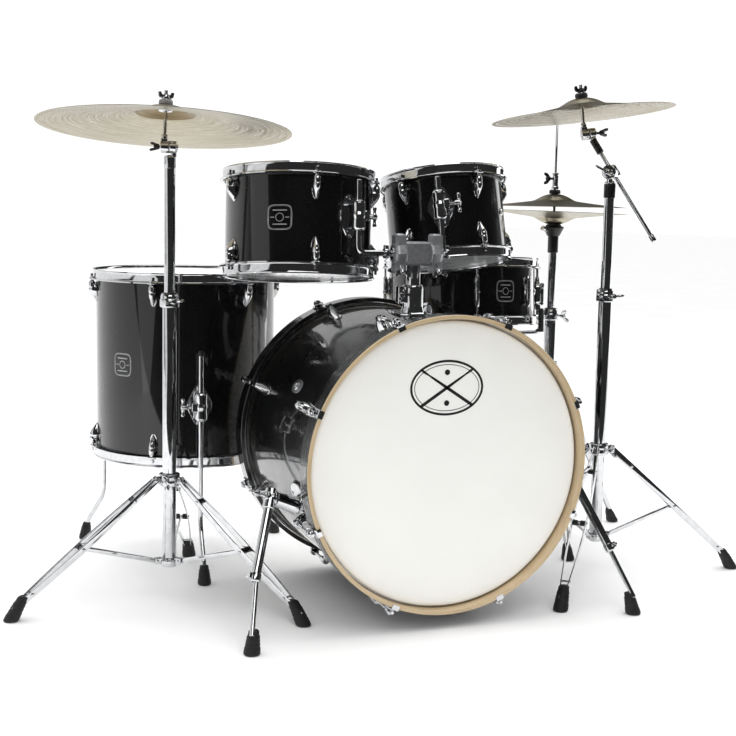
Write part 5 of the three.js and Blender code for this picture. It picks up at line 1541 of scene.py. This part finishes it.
hat_clamp, hat_bush = height_clamp(hat, HAT_CLAMP, 14.5, 10.2)
tube_lower = lathe(ring_outline(TUBE_BORE, TUBE, 44, HAT_CLAMP - 2, 0.7), 48)
tube_upper = lathe(ring_outline(8, 10, HAT_CLAMP, SEAT - 32, 0.6), 40)
hat_tubes = placed([tube_lower, tube_upper], hat) + hat_clamp
build("hihat_tube", hat_tubes, CHROME, "kit", ["hihat_stand"])
sleeve = lathe(rounded([(10, -62), (13, -62), (13, -22), (8, -20)], 1.2, 4), 40)
cup = lathe(rounded([(5, -24), (15, -21), (24, -4), (26, 0), (24, 3), (18, 3), (16, 1), (5, 1)], 1.4, 4), 48)
build("hihat_seat_cup", placed([sleeve, cup], at_seat) + hat_bush, NYLON, "kit")
seat_felt = lathe(rounded([(5, 1), (19, 1), (20, 4), (17, 8), (5, 8)], 1.2, 4), 40)
build("hihat_seat_felt", placed([seat_felt], at_seat), BLACK_FELT, "kit")
tilt_screw = frame_at(at_seat[:3, 3] + (-20, -6, -8), (-0.9, -0.25, 0.35))
screw_head = lathe(rounded([(0, 12), (6.5, 12), (6.5, 20), (0, 20)], 1.2, 4), 18)
build("hihat_tilt_screw", placed([threaded(-4, 12, 2.4), screw_head], tilt_screw), CHROME, "kit")
hat_wing = frame_at(hat[:3, 3] + (8, -15, HAT_CLAMP - 8), (0.5, -0.87, 0), (0, 0, 1))
build("hihat_height_wing_bolt", placed(wing_bolt(20, 18), hat_wing, spin(30)), CHROME, "kit")
fixed_tripod("hihat", hat, (15, 135, 255), 255, 430, 110)

LOWER_TILT = 1.2     # degrees, so that air can leave between the cymbals
upside_down = hat @ shift(z=LOWER_RIM) @ spin(LOWER_TILT, 1) @ spin(180, 0)
cymbal("hihat_bottom_cymbal", upside_down, "hihat", "kit")
cymbal("hihat_top_cymbal", hat @ shift(z=UPPER_RIM), "hihat", "hihat_top")

at_bell = hat @ shift(z=UPPER_RIM + CYMBALS["hihat"]["height"])
pull = moved(lathe([(0, 84), (3.1, 84), (3.1, ROD_TOP - 2), (2.2, ROD_TOP), (0, ROD_TOP)], 24), hat)
clutch_body = rounded([(3.3, 12), (9.5, 12), (9.5, 18), (7.5, 20), (7.5, 46), (8.6, 48), (8.6, 52),
                       (3.3, 52)], 1.0, 4)
lower_nut = ring_outline(3.3, 9.5, -22, -14, 1.0)
clutch = placed([lathe(clutch_body, 36), lathe(lower_nut, 8)], at_bell)
build("hihat_pull_rod", [pull, *clutch], CHROME, "hihat_top", ["hihat_rod"])
upper_felt = rounded([(3.4, 0.9), (13.6, 0.9), (14.2, 5), (13, 11), (3.4, 11)], 1.6, 4)
lower_felt = rounded([(3.4, -13.5), (12, -13.5), (12.4, -8), (11.6, -2), (3.4, -2)], 1.4, 4)
hat_felts = placed([lathe(upper_felt, 36), lathe(lower_felt, 36)], at_bell)
build("hihat_clutch_felts", hat_felts, BLACK_FELT, "hihat_top")
clutch_screw = frame_at(at_bell[:3, 3] + (-7, 0, 38), (-1, -0.2, 0), (0, 0, 1))
build("hihat_clutch_wing_bolt", placed(wing_bolt(15, 15, 2.8), clutch_screw), NYLON, "hihat_top")

# %% [markdown]
# ### Pedal
# A ribbed cast footboard hinges on a heel plate. Two base rods run from the heel to a front foot, two
# uprights beside the tube carry the spring bar, and a short chain joins the footboard to the pull rod. The
# board's outline is one rounded plate, and its ribs are narrower toward the toe, as the board is.

# %% Hi-hat pedal
HEEL = 290.0     # from the tube to the back edge of the heel plate
base_shapes = [tube([(x, 0, 5), (x, HEEL - 6, 5)], 3.4, 16, 1.0) for x in (-34, 34)]
base_shapes.append(moved(block(78, 34, 4, 8, 1.2), shift(0, 4, 3)))             # front foot
base_shapes.append(moved(block(78, 60, 4, 10, 1.2), shift(0, HEEL - 20, 3)))    # heel plate
base_shapes.append(moved(block(78, 12, 12, 3, 1.5), shift(0, 0, 56)))           # spring bar
base_shapes.append(moved(block(50, 10, 14, 3, 1.5), shift(0, HEEL - 2, 12)))    # heel stop
base_shapes += [tube([(x, 0, 4), (x, 0, 60)], 4.8, 20, 0.8) for x in (-34, 34)]
base_shapes += [tube([(-30, HEEL - 24, 20), (30, HEEL - 24, 20)], 3.6, 18, 0.6)]
build("hihat_pedal_base", placed(base_shapes, hat), CHROME, "kit")
link = block(2.6, 5.6, 8.6, 1.2, 0.5)
chain = [moved(link, hat, shift(k, 0, z)) for z in np.arange(58, 92, 7.0) for k in (-2.6, 2.6)]
build("hihat_chain", chain, CHROME, "hihat_top")

heel_at = joint_point("hihat_pedal")
rise = math.degrees(math.atan2(52, HEEL - 46))
board = frame_at(heel_at) @ spin(-rise, 0)
LENGTH = HEEL - 40
outline = rounded([(-22, -LENGTH), (22, -LENGTH), (31, -LENGTH + 60), (31, -4), (-31, -4),
                   (-31, -LENGTH + 60)], 12, 8)
shapes = [plate(outline, 0.4, 4.4, 1.2)]
for y in np.arange(-232, -20, 12.0):
    rib = block(46 if y < -190 else 54, 3.0, 2.4, 1.2, 0.6)
    shapes.append(moved(rib, shift(0, y, 5.2)))
footboard = placed(shapes, board)
build("hihat_footboard_plate", footboard, ZINC, "hihat_footboard", ["hihat_footboard"])

# %% [markdown]
# ## Floor, light and camera
# A pale floor under soft light: a large overhead box, a strip at each side, a box high in front that shows as
# highlights, and a fill and an even sun that light without showing in the chrome. The camera's place is
# measured from the foot of the bass drum's front hoop.

# %% Floor
NEAR, FAR, WIDE, BELOW = -1350, 60000, 30000, -0.5     # the feet touch z = 0, just above the paper
corners = [(-WIDE, NEAR), (WIDE, NEAR), (WIDE, FAR), (-WIDE, FAR)]
floor_mesh = bpy.data.meshes.new("studio_floor")
floor_mesh.from_pydata([(x * MM, y * MM, BELOW * MM) for x, y in corners], [], [(0, 1, 2, 3)])
floor = bpy.data.objects.new("studio_floor", floor_mesh)
bpy.context.scene.collection.objects.link(floor)
floor_finish, floor_tree, floor_shader = finish("pale_paper_floor", "#f4f4f4", 0.75)
paper = blend(floor_tree, pattern(floor_tree, 400, 2), "#f3f3f3", "#f6f6f6")
floor_tree.links.new(paper, floor_shader.inputs["Base Color"])
floor.data.materials.append(floor_finish)


# %% Lights
def softbox(name, place, aim, width, height, power, glossy=True):
    """A rectangular area light at a place in mm, turned toward the point it lights."""
    data = bpy.data.lights.new(name, "AREA")
    data.shape, data.energy = "RECTANGLE", power
    data.size, data.size_y = width * MM, height * MM
    light = bpy.data.objects.new(name, data)
    matrix = frame_at(place, np.subtract(place, aim), (1, 0, 0.01))
    matrix[:3, 3] *= MM
    light.matrix_world = Matrix(matrix.tolist())
    light.visible_glossy = glossy
    bpy.context.scene.collection.objects.link(light)


middle = (0, -50, 500)
softbox("overhead_box", (0, 300, 3300), (0, 0, 0), 3000, 2400, 45)
softbox("left_strip", (-3000, -700, 1100), middle, 1300, 2600, 9)
softbox("right_strip", (2700, 900, 1200), middle, 500, 2400, 9)
softbox("front_top", (-600, -2700, 2900), middle, 2600, 900, 18)
softbox("front_fill", (-900, -3600, 1500), middle, 2600, 2200, 44, glossy=False)

sky_data = bpy.data.lights.new("even_overhead", "SUN")
sky_data.energy, sky_data.angle = 3.3, math.radians(100)
sky_light = bpy.data.objects.new("even_overhead", sky_data)
sky_light.matrix_world = Matrix(frame_at((0, 0, 4), (0.05, 0.22, 1)).tolist())
sky_light.visible_glossy = False
bpy.context.scene.collection.objects.link(sky_light)

world = bpy.data.worlds.new("studio")
bpy.context.scene.world = world
world.use_nodes = True
sky = world.node_tree
sky.nodes.clear()
way = add(sky, "ShaderNodeTexCoord").outputs["Generated"]
wall_way = (-0.45, 0.89, 0.0)     # toward the middle of the white wall
facing = add(sky, "ShaderNodeVectorMath", {0: way, 1: wall_way}, operation="DOT_PRODUCT")
room = add(sky, "ShaderNodeMapRange", {
    "Value": facing.outputs["Value"], "From Min": 0.42, "From Max": 0.95, "To Min": 0.03, "To Max": 0.95},
    interpolation_type="SMOOTHSTEP")
seen = add(sky, "ShaderNodeLightPath").outputs["Is Camera Ray"]
mixed = add(sky, "ShaderNodeMix", {0: seen, 2: room.outputs[0], 3: 1.1}, data_type="FLOAT")
background = add(sky, "ShaderNodeBackground", {"Color": (1, 1, 1, 1), "Strength": mixed.outputs[0]})
add(sky, "ShaderNodeOutputWorld", {"Surface": background.outputs[0]})
bpy.context.scene.view_settings.view_transform = "Standard"

# %% Camera
EYE = np.array([-1048.6, -2256.1, 815.0])     # from the foot of the front hoop's middle: right, back, up
YAW, PITCH, ROLL = 21.10, -6.96, 1.13         # degrees: toward the right, down, and about the view
LENS = 63.9                                   # on a 36 mm wide sensor

front_middle = bass[:3, 3] + bass[:3, 2] * BASS["face"]
eye = np.array([front_middle[0], front_middle[1], 0.0]) + EYE
yaw, pitch = math.radians(YAW), math.radians(PITCH)
forward = np.array([math.sin(yaw) * math.cos(pitch), math.cos(yaw) * math.cos(pitch), math.sin(pitch)])
level = np.array([math.cos(yaw), -math.sin(yaw), 0.0])
upward = np.cross(level, forward)
roll = math.radians(ROLL)
right = math.cos(roll) * level + math.sin(roll) * upward
camera_data = bpy.data.cameras.new("camera")
camera_data.lens, camera_data.sensor_width = LENS, 36.0
camera_data.clip_end = 90.0
camera = bpy.data.objects.new("camera", camera_data)
pose = frame_at(eye, -forward, right)
pose[:3, 3] *= MM
camera.matrix_world = Matrix(pose.tolist())
bpy.context.scene.collection.objects.link(camera)
bpy.context.scene.camera = camera

# %% The sizes, and the end
print("pieces", len(made), "faces", sum(made.values()))
